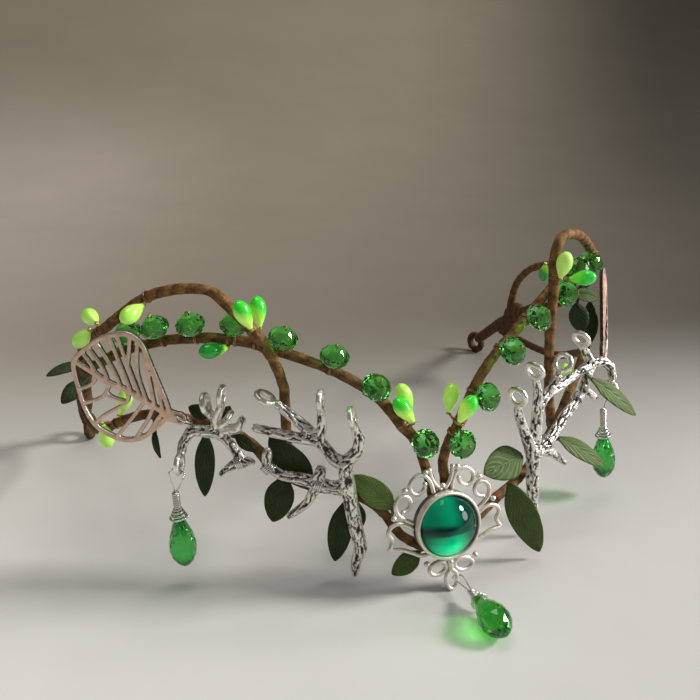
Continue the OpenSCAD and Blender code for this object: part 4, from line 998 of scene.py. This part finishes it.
def blade_surfaces(base, tip, across, face, width, seed):
    """Upper and lower points of a blade, row by row, and where each is on the blade."""
    t, u = np.linspace(0, 1, LEAF_ROWS), np.linspace(-1, 1, LEAF_COLUMNS)
    half = np.maximum(table(BLADE, t), 0.05) * width / 2
    bow = 4 * t * (1 - t) * LEAF_BOW
    top, under, uv = [], [], []
    for i in range(LEAF_ROWS):
        for j in range(LEAF_COLUMNS):
            flutter = LEAF_FLUTTER * noise.noise(Vector((3.1 * t[i], 1.2 * u[j], seed)))
            lane = (VEIN_COUNT * t[i] - VEIN_SLANT * abs(u[j]) / 2) % 1.0
            pad = LEAF_PAD * (0.5 - abs(lane - 0.5)) * (1 - u[j] ** 4)
            groove = -LEAF_GROOVE * math.exp(-(u[j] / GROOVE_HALF_WIDTH) ** 2)
            lift = LEAF_CUP * half[i] * abs(u[j]) + bow[i] + flutter
            middle = base + (tip - base) * t[i] + across * half[i] * u[j] + face * lift
            thick = LEAF_HALF_T * (1 - 0.75 * abs(u[j]) ** 3) * (1 - 0.6 * t[i] ** 4)
            top.append(middle + face * (thick + pad + groove))
            under.append(middle - face * thick)
            uv.append((0.5 + u[j] / 2, t[i]))
    return top, under, uv


def blade_faces():
    """Faces of both surfaces and of the rim between them."""
    rows, columns = LEAF_ROWS, LEAF_COLUMNS
    count = rows * columns
    faces = []
    for i in range(rows - 1):
        for j in range(columns - 1):
            a, d = i * columns + j, (i + 1) * columns + j
            b, c = a + 1, d + 1
            faces += [(a, b, c, d), (count + d, count + c, count + b, count + a)]
    rim = (list(range(columns)) + [i * columns + columns - 1 for i in range(1, rows)]
           + [(rows - 1) * columns + j for j in range(columns - 2, -1, -1)]
           + [i * columns for i in range(rows - 2, 0, -1)])
    faces += [(b, a, count + a, count + b) for a, b in zip(rim, rim[1:] + rim[:1])]
    return faces


def petiole(shape, route, base, heading, face, more):
    """Stalk from the surface of the wire that carries the leaf to the blade."""
    p = base - heading * PETIOLE_BACK
    seat = nearest(route, p)
    start = seat + unit(p - seat) * (WIRE_R + more)
    co, faces = tube(smooth([start, (start + base) / 2 - face * 0.1, base + heading], 4),
                     PETIOLE_R, PETIOLE_SIDES)
    shape.add(co, faces, blade=np.full((len(co) * PETIOLE_SIDES, 2), PETIOLE_UV))


leaf_shapes = {}
for seed, (node, carrier, base, tip, looks, width, tone, lying) in enumerate(LEAVES):
    shape = leaf_shapes.setdefault((node, tone), Shape())
    base, tip = np.array(base, float), np.array(tip, float)
    heading = unit(tip - base)
    across = unit(np.cross(heading, looks))
    face = np.cross(across, heading)
    top, under, uv = blade_surfaces(base, tip, across, face, width, seed * 4.7)
    shape.add(np.array(top + under), blade_faces(), blade=np.array(uv + uv))
    if not lying:
        petiole(shape, SEATS[carrier], base, heading, face,
                TWIG_SEAT_MORE if carrier == "twig" else 0)
for (node, tone), shape in leaf_shapes.items():
    shape.build(f"{node}_{tone}", LEAF_LOOKS[tone], "leaf_cloth", [node])


# Cast twigs and filigree

# Size of the fine mesh's cells, and rounds of smoothing
TWIG_VOXEL, TWIG_ROUNDS = 0.27, 4
FILIGREE_VOXEL, FILIGREE_ROUNDS = 0.2, 3
# Bark: height of its ridges, depth of its pits, and how it fades to the polished rings
BARK_RISE, BARK_DEPTH = 0.12, 0.4
POLISHED_WITHIN, BARK_FADE = 3.0, 1.2
# Bark pattern: fineness, how far it is drawn out and in how many steps, and threshold
BARK_FINE, BARK_DRAWN, BARK_STEPS = 1.9, 0.75, 7
PIT_FROM, PIT_WIDTH = 0.05, 0.4
# Way of a branch: from the points within this reach, and at one point in so many
BRANCH_REACH, BRANCH_EVERY = 3.0, 7
# Turn of a filigree leaf's plane, in degrees, and the percentage of points behind its front
FILIGREE = {"filigree_left": (145, 90), "filigree_right": (51, 98)}
# Depth of the bright edge behind the front, and how softly it ends
FRONT_EDGE, FRONT_FADE = 0.55, 0.3


def remeshed(node, voxel, rounds):
    """Fine, softened copy of a solid's mesh; lies where the solid lies, in metres."""
    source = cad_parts[node]
    mesh = bpy.data.meshes.new(node + "_fine")
    mesh.from_pydata([v.co.copy() for v in source.data.vertices], [],
                     [tuple(face.vertices) for face in source.data.polygons])
    helper = bpy.data.objects.new(node + "_fine", mesh)
    bpy.context.scene.collection.objects.link(helper)
    weld = helper.modifiers.new("weld", "WELD")
    weld.merge_threshold = 1e-6
    fine = helper.modifiers.new("fine", "REMESH")
    fine.mode = "VOXEL"
    fine.voxel_size = voxel * MM
    soft = helper.modifiers.new("soft", "SMOOTH")
    soft.factor = 0.5
    soft.iterations = rounds
    made = bpy.data.meshes.new_from_object(
        helper.evaluated_get(bpy.context.evaluated_depsgraph_get()))
    bpy.data.objects.remove(helper)
    return made


def points_of(mesh):
    """Points in millimetres and normals of a mesh."""
    co = np.empty(len(mesh.vertices) * 3)
    mesh.vertices.foreach_get("co", co)
    normal = np.empty(len(mesh.vertices) * 3)
    mesh.vertices.foreach_get("normal", normal)
    return co.reshape(-1, 3) / MM - SHIFT, normal.reshape(-1, 3)


def put_back(mesh, co, **layers):
    """Moves the points of a mesh and writes its per-point layers."""
    mesh.vertices.foreach_set("co", ((co + SHIFT) * MM).ravel())
    dress(mesh, {k: np.asarray(v, float).reshape(len(co), -1) for k, v in layers.items()})


def branch_ways(co):
    """At each point, the direction of the branch that it lies on."""
    few = co[::BRANCH_EVERY]
    tree = KDTree(len(few))
    for i, point in enumerate(few):
        tree.insert(point, i)
    tree.balance()
    ways = np.empty_like(few)
    for i, point in enumerate(few):
        near = few[[found[1] for found in tree.find_range(point, BRANCH_REACH)]]
        ways[i] = np.linalg.eigh(np.cov(near.T))[1][:, 2]
    return ways[[tree.find(point)[1] for point in co]]


def bark(co, seed):
    """Depth of the pits of bark, each drawn out along its branch."""
    ways = branch_ways(co)
    total = np.zeros(len(co))
    for reach in np.linspace(-BARK_DRAWN, BARK_DRAWN, BARK_STEPS):
        places = (co + ways * reach) * BARK_FINE + seed
        total += [noise.noise(Vector(place)) for place in places]
    return (total / total.std() - PIT_FROM) / PIT_WIDTH


def cast_twig(node, seed):
    mesh = remeshed(node, TWIG_VOXEL, TWIG_ROUNDS)
    co, normal = points_of(mesh)
    rings = np.array(TIP_RINGS)
    far = np.min(np.linalg.norm(co[:, None] - rings[None], axis=2), axis=1)
    rough = np.clip((far - POLISHED_WITHIN) / BARK_FADE, 0, 1)
    pit = np.clip(bark(co, seed), 0, 1) * rough
    co += normal * (BARK_RISE - BARK_DEPTH * pit)[:, None]
    put_back(mesh, co, pit=pit)
    piece(node + "_cast", mesh, SILVER, [node])


def filigree(node, seed, turn, behind):
    """Copper leaf; walls of its gaps are bright near the front and carry painted shade further
    behind, with dark oxide in random patches.
    """
    mesh = remeshed(node, FILIGREE_VOXEL, FILIGREE_ROUNDS)
    co, normal = points_of(mesh)
    worn = np.array([noise.noise(Vector((x * 0.6, y * 0.6, z * 0.6 + seed))) for x, y, z in co])
    turn = math.radians(turn)
    front = np.array([math.sin(turn), -math.cos(turn), 0])
    front *= -np.sign(front[1])
    wall = np.clip((0.8 - np.abs(normal @ front)) / 0.35, 0, 1)
    depth = np.percentile(co @ front, behind) - co @ front
    near = np.clip((FRONT_EDGE - depth) / FRONT_FADE, 0, 1)
    # Painted shade on the walls of the gaps behind the bright edge
    pit = np.clip(wall * (1 - near) + np.clip(worn - 0.2, 0, 1) * 0.6, 0, 1)
    put_back(mesh, co, pit=pit, edge=wall * near)
    piece(node + "_copper", mesh, COPPER, [node])


for seed, node in enumerate(("twig_left_inner", "twig_left_outer", "twig_right_inner",
                             "twig_right_outer")):
    cast_twig(node, seed * 11.0)
for seed, (node, (turn, behind)) in zip((2.0, 9.0), FILIGREE.items()):
    filigree(node, seed, turn, behind)


# Setting and stone

SCROLL_SIDES, GRANULE_SIDES, BEZEL_SIDES, STONE_SIDES = 10, 14, 56, 64
ROUTE_STEP = 0.35
# Way to the front in the setting's own plane
TO_FRONT = (0, 0, 1)


def in_setting(local):
    """From the setting's own plane to the diadem."""
    x, y, z = np.asarray(local, float).reshape(-1, 3).T
    a = math.pi / 2 - SETTING_LEAN
    return SETTING_CENTRE + np.stack([x, y * math.cos(a) - z * math.sin(a),
                                      y * math.sin(a) + z * math.cos(a)], axis=1)


setting = Shape()


def cast(co, faces, dark_below=0.2):
    """Adds metal to the setting, darker on what lies low in its plane towards its back, which on
    the cup's outer wall is painted shade, and with dark oxide in random patches.
    """
    co = np.asarray(co, float).reshape(-1, 3)
    mottle = np.array([noise.noise(Vector(p) * 0.9) for p in co])
    # Darker towards the back of the setting; on the cup's outer wall this is painted shade
    behind = np.clip((dark_below - co[:, 2]) / 0.4, 0, 1) * 0.85
    setting.add(in_setting(co), faces, pit=np.clip(behind + np.maximum(mottle, 0) * 0.55, 0, 1))


def scroll(points, sign):
    """Round wire that gets thinner and ends in a small ball."""
    route = even(smooth([(sign * x, y, 0.0) for x, y in points], 10), ROUTE_STEP)
    share = np.linspace(0, 1, len(route))
    cast(*tube(route, SCROLL_SHOWN_R * (1.04 - 0.1 * share), SCROLL_SIDES, first=TO_FRONT))
    cast(*ball(route[-1], SCROLL_SHOWN_R * 1.12))


def petal(x, y, a, b, turn):
    turn = math.radians(turn)
    loop = [(x + a * math.cos(k) * math.cos(turn) - b * math.sin(k) * math.sin(turn),
             y + a * math.cos(k) * math.sin(turn) + b * math.sin(k) * math.cos(turn), 0.0)
            for k in np.linspace(0, 2 * math.pi, 36, endpoint=False)]
    cast(*tube(loop, SCROLL_SHOWN_R, SCROLL_SIDES, closed=True, first=TO_FRONT))


def bezel():
    """Cup with a rounded foot, a groove and a rim that leans over the stone."""
    low, top, r = -BEZEL_FLOOR / 2, BEZEL_H + BEZEL_FLOOR / 2, BEZEL_R
    inside, floor = BEZEL_R - BEZEL_WALL, BEZEL_FLOOR / 2
    cup = turned([(low, 0.1), (low, r - 0.25), (low + 0.25, r), (1.1, r), (1.3, r - 0.12),
                  (1.5, r), (top - 0.25, r - 0.05), (top, r - 0.3), (top, inside + 0.25),
                  (top - 0.15, inside), (floor, inside), (floor, 0.1)], BEZEL_SIDES)
    # Painted shade on the outer wall of the cup, up to about 1.5 mm above its plane
    cast(cup, skin(cup.shape[:2]), 1.5)


for sign in (1, -1):
    for points in SCROLLS:
        scroll(points, sign)
    for x, y, r in GRANULES:
        cast(*ball((sign * x, y, GRANULE_LIFT), r, GRANULE_SIDES))
for x, y, r in LOWER_GRANULES:
    cast(*ball((x, y, GRANULE_LIFT), r, GRANULE_SIDES))
for row in PETALS:
    petal(*row)
stem = even(smooth(BOW_STEM, 8), 0.4)
cast(*tube(stem, np.linspace(*BOW_STEM_R, len(stem)), SCROLL_SIDES))
cast(*ball(BOW_KNOT, BOW_KNOT_R, 12))
bezel()
setting.build("setting_openwork", BEZEL_SILVER, "antique_silver", ["setting"])


def light_in_stone(x, y):
    """Painted light in the stone: glow where light from the upper right gathers low at the left
    and a paler upper left, and painted shade on a line above the glow and on the right side.

    Places are in millimetres from the middle of the stone, in the setting's plane.
    """
    below = np.clip((-0.9 + 0.06 * x - y) / 0.35, 0, 1)
    low = below * np.exp(-((x + 1.4) / 5.0) ** 4) * np.exp(-np.maximum(y + 4.2, 0) / 5.5)
    core = 0.62 + 0.38 * np.exp(-(((x + 0.6) / 2.6) ** 2 + ((y + 5.2) / 2.2) ** 2))
    high = 0.2 * np.clip((2.2 - x) / 3, 0, 1) * np.clip((y - 0.9) / 1.2, 0, 1)
    line = np.exp(-((y - 0.6 - 0.06 * x) / 1.2) ** 2) * np.clip((2.4 - x) / 3.5, 0, 1)
    shaded = np.maximum(line, np.clip((x + 0.4) / 3.2, 0, 1) * 0.85)
    return np.clip(np.maximum(low * core, high), 0, 1), np.clip(shaded, 0, 1)


def cabochon():
    girdle = BEZEL_H - BEZEL_FLOOR / 2 - GAP
    dome_r = (STONE_R ** 2 + STONE_H ** 2) / (2 * STONE_H)
    rows = [(0, 0.05), (0, STONE_R - 0.2), (0.2, STONE_R)]
    rows += [(girdle + STONE_H - dome_r * (1 - math.cos(a)), max(0.02, dome_r * math.sin(a)))
             for a in np.linspace(math.asin(STONE_R / dome_r), 0, 30)]
    co = turned(rows, STONE_SIDES)
    co[..., 2] += BEZEL_FLOOR / 2 + GAP
    local = co.reshape(-1, 3)
    glow, band = light_in_stone(local[:, 0], local[:, 1])
    stone = Shape().add(in_setting(local), skin(co.shape[:2]), glow=glow, band=band)
    stone.build("cabochon_glass", STONE, "cabochon_glass", ["cabochon"])


cabochon()


# Drops

DROP_SIDES = 12
# The wire of the loop: clearance radius, half of the gap between its legs, arc and shown radius
LOOP_CLEAR_R, LOOP_LEG, LOOP_ARC, LOOP_WIRE_R = 0.32, 0.37, range(110, -111, -44), 0.2
# Coils: pitch and wire radius of the neck, of the flare on the glass and of the loose turns
NECK_PITCH, NECK_WIRE_R = 0.58, 0.28
FLARE_PITCH, FLARE_WIRE_R = 0.85, 0.3
LOOSE_PITCH, LOOSE_TURNS, LOOSE_WIRE_R = 0.9, 2.2, 0.22
LOOSE_LIFT, LOOSE_PHASE = 0.3, 2.0
FLARE_STEPS = 18
CORE_R = 0.5
# Way out of a twig's tip ring: to the drop's own side, and to the back
RING_OPENS_SIDE, RING_OPENS_BACK = 0.47, -0.88


def loop_route(top, hook, through, bar_r, r):
    """Wire that rises from a drop, passes over a bar at the hook and comes down again."""
    rise = hook - top
    up = unit(rise - through * (rise @ through))
    side = np.cross(through, up)
    middle = hook + up * (bar_r + GAP + LOOP_CLEAR_R - r)
    arc = [middle + r * (math.sin(math.radians(a)) * side + math.cos(math.radians(a)) * up)
           for a in LOOP_ARC]

    def leg(sign, height):
        return top + sign * LOOP_LEG * side + height * up

    return [leg(1, -0.5), leg(1, 0.3)] + arc + [leg(-1, 0.3), leg(-1, -0.5)]


def hook_of(spec):
    """Where a drop's loop hangs: place, way through the bar's opening and bar radius."""
    if "ring" not in spec:
        x, y = PETAL_HOOK
        upright = np.array([0, math.sin(SETTING_LEAN), math.cos(SETTING_LEAN)])
        return SETTING_CENTRE + np.array([x, 0, 0]) + y * upright, upright, SCROLL_R
    ring, joint = np.array(spec["ring"], float), np.array(spec["joint"], float)
    way = unit(ring - joint)
    out = np.array([RING_OPENS_SIDE * spec["side"], RING_OPENS_BACK, 0])
    return ring + RING_MID_R * way, unit(out - way * (out @ way)), RING_WIRE_R


def drop(name, spec):
    top, low = np.array(spec["top"], float), np.array(spec["low"], float)
    r, neck, length = spec["d"] / 2, spec["neck"], spec["length"]
    m = frame_along(top - low)
    up = m[:, 2]
    co = turned([(-neck - DROP_SEAT - t * length, share * r) for t, share in BRIOLETTE][::-1],
                DROP_SIDES, 0.5)
    shape = Shape().add(co.reshape(-1, 3) @ m.T + top, faceted(co))
    look = LOW_DROP_GLASS if name == "drop_centre" else DROP_GLASS
    shape.build(name + "_glass", look, "green_glass", [name], flat=True)
    wire = Shape()
    foot = top - up * (neck + FLARE_H)
    thin(wire, helix(top - up * neck, up, NECK_R, NECK_PITCH, neck / NECK_PITCH), NECK_WIRE_R)
    thin(wire, helix(foot, up, (FLARE_R, NECK_R + 0.1), FLARE_PITCH, FLARE_H / FLARE_PITCH,
                     FLARE_STEPS), FLARE_WIRE_R)
    thin(wire, helix(foot + up * LOOSE_LIFT, up, (FLARE_R + 0.12, NECK_R + 0.5), LOOSE_PITCH,
                     LOOSE_TURNS, FLARE_STEPS, LOOSE_PHASE), LOOSE_WIRE_R)
    thin(wire, np.array([top + up * 0.2, top - up * (neck + 1)]), CORE_R, 8)
    loop = loop_route(top, *hook_of(spec), spec["loop"])
    thin(wire, even(smooth(loop, 8), 0.3), LOOP_WIRE_R)
    wire.build(name + "_binding", WIRE_SILVER, "antique_silver", [name + "_wire"])


def jump_ring():
    m = frame_along(JUMP_RING_WAY)
    circle = [JUMP_RING_PLACE + m @ (JUMP_RING_R * np.array([math.cos(a), math.sin(a), 0]))
              for a in np.linspace(0, 2 * math.pi, 40, endpoint=False)]
    co, faces = tube(circle, JUMP_RING_WIRE_R, 10, closed=True, first=m[:, 2])
    Shape().add(co, faces, pit=0.1).build("jump_ring", WIRE_SILVER, "antique_silver")


for name, spec in DROPS.items():
    drop(name, spec)
jump_ring()
twig_ties = Shape()
for base, way, r, turns in TWIG_TIES:
    thin(twig_ties, helix(base, way, r, TIE_PITCH, turns, 16), TIE_WIRE_R)
twig_ties.build("twig_ties", WIRE_SILVER, "antique_silver")
binding.build("copper_binding", BINDING, "copper")


# Floor, light and camera

# Directions on the floor: away from the camera, to its right, and across the side with painted
# shade
AHEAD, TO_RIGHT, TO_SHADE = (0.34, 0.94, 0.0), (0.94, -0.34, 0.0), (0.859, -0.563, 0.0)
# Sweep of floor and wall in metres: where the curve starts, its radius, and the far edges
SWEEP_FROM, SWEEP_R, SWEEP_TOP, SWEEP_FRONT, SWEEP_SIDE = 0.4, 1.2, 3.0, -3.0, 4.0


def along_floor(tree, way, low, high):
    """Soft step from 0 to 1 between two distances along a direction."""
    place = add(tree, "TexCoord").outputs["Object"]
    reach = add(tree, "VectorMath", {0: place, 1: way}, operation="DOT_PRODUCT").outputs["Value"]
    return add(tree, "MapRange", {"Value": reach, "From Min": low, "From Max": high},
               interpolation_type="SMOOTHSTEP").outputs["Result"]


def stage_paint():
    """Painted shade on floor and wall: pale grey in front, and a warm grey behind that gets darker
    to the right, where the light falls off.

    Distances of the ramps are in metres along the floor.
    """
    look, tree, bsdf = shader("stage", Roughness=0.8, Specular_IOR_Level=0.1)
    wall_left, wall, wall_high = (0.37, 0.32, 0.275), (0.215, 0.19, 0.15), (0.2, 0.175, 0.135)
    floor, shaded_floor = (0.72, 0.71, 0.67), (0.42, 0.415, 0.4)
    shaded_wall, black = (0.05, 0.044, 0.036), (0.0, 0.0, 0.0)
    # Painted shade: darker behind and to the right, where the light falls off
    back_left = along_floor(tree, AHEAD, -0.09, 0.13)
    back_right = along_floor(tree, AHEAD, -0.03, 0.17)
    deep = along_floor(tree, AHEAD, 0.42, 0.85)
    inward = along_floor(tree, TO_RIGHT, -0.3, -0.06)
    aside = along_floor(tree, TO_SHADE, -0.2, 0.23)
    grain = use(tree, GRAIN, Scale=14.0, Depth=0.02)
    behind = mix(tree, deep, mix(tree, inward, wall_left, wall), wall_high)
    left = mix(tree, back_left, floor, behind)
    right = mix(tree, back_right, shaded_floor, shaded_wall)
    cloudy = mix(tree, part_of(tree, grain["Patches"], 0.06), mix(tree, aside, left, right), black)
    connect(tree, bsdf, Base_Color=cloudy, Normal=grain["Normal"])
    return look


def stage_sweep():
    """Floor that curves up into a wall."""
    profile = [(SWEEP_FRONT, 0.0), (SWEEP_FROM, 0.0)]
    profile += [(SWEEP_FROM + SWEEP_R * math.sin(a), SWEEP_R * (1 - math.cos(a)))
                for a in np.linspace(0.05, math.pi / 2, 32)]
    profile += [(SWEEP_FROM + SWEEP_R, SWEEP_TOP)]
    mesh = bpy.data.meshes.new("stage_sweep")
    mesh.from_pydata([(x, y, z) for y, z in profile for x in (-SWEEP_SIDE, SWEEP_SIDE)], [],
                     [(2 * i, 2 * i + 1, 2 * i + 3, 2 * i + 2) for i in range(len(profile) - 1)])
    mesh.polygons.foreach_set("use_smooth", [True] * len(mesh.polygons))
    mesh.materials.append(stage_paint())
    sweep = bpy.data.objects.new("stage_sweep", mesh)
    bpy.context.scene.collection.objects.link(sweep)


# Disks of light: place and target in metres, size, power in watts, colour, seen in gloss
LIGHTS = {
    "key": ((0.86, -0.27, 0.6), (0.0, -0.02, 0.03), 0.24, 12.5, (1.0, 0.985, 0.96), True),
    "window": ((0.9, -0.45, 0.3), (0.0, -0.02, 0.03), 0.4, 3.2, (1.0, 1.0, 1.0), True),
    "backdrop": ((0.55, 0.35, 1.3), (0.6, 1.5, 0.6), 0.8, 13.0, (1.0, 0.98, 0.94), False),
    "fill": ((-0.25, -0.95, 0.75), (0.0, 0.0, 0.03), 0.5, 2.2, (0.97, 0.98, 1.0), False),
    "top": ((-0.1, 0.15, 1.0), (0.0, 0.0, 0.0), 0.6, 2.4, (1.0, 1.0, 1.0), True),
}
WORLD_COLOUR, WORLD_STRENGTH = (0.5, 0.48, 0.45), 0.26
# Camera fitted to the photograph: place in millimetres, direction back from the subject in
# degrees, and focal length and width of the picture in pixels
CAMERA_PLACE = np.array([-82.0, -157.0, 140.5])
AZIMUTH, ELEVATION = math.radians(-19.8), math.radians(22.2)
FOCAL_PX, FRAME_PX = 800, 700
SENSOR_WIDTH = 36.0


def light(name, place, target, size, power, colour, in_gloss):
    data = bpy.data.lights.new(name, "AREA")
    data.shape = "DISK"
    data.size = size
    data.energy = power
    data.color = colour
    lamp = bpy.data.objects.new(name, data)
    lamp.location = place
    lamp.visible_glossy = in_gloss
    lamp.rotation_euler = (Vector(target) - Vector(place)).to_track_quat("-Z", "Y").to_euler()
    bpy.context.scene.collection.objects.link(lamp)


def studio_air():
    world = bpy.data.worlds.new("studio")
    world.use_nodes = True
    background = world.node_tree.nodes["Background"]
    background.inputs["Color"].default_value = rgb(WORLD_COLOUR)
    background.inputs["Strength"].default_value = WORLD_STRENGTH
    bpy.context.scene.world = world


def place_camera():
    level = math.cos(ELEVATION)
    back = Vector((math.sin(AZIMUTH) * level, -math.cos(AZIMUTH) * level, math.sin(ELEVATION)))
    right = Vector((math.cos(AZIMUTH), math.sin(AZIMUTH), 0))
    lens = bpy.data.cameras.new("camera")
    lens.sensor_width = SENSOR_WIDTH
    lens.lens = SENSOR_WIDTH * FOCAL_PX / FRAME_PX
    lens.clip_start = 0.01
    camera = bpy.data.objects.new("camera", lens)
    turn = Matrix((right, back.cross(right), back)).transposed().to_4x4()
    camera.matrix_world = Matrix.Translation(Vector((CAMERA_PLACE + SHIFT) * MM)) @ turn
    bpy.context.scene.collection.objects.link(camera)
    bpy.context.scene.camera = camera


stage_sweep()
for name, values in LIGHTS.items():
    light(name, *values)
studio_air()
place_camera()
bpy.context.scene.view_settings.view_transform = "Standard"
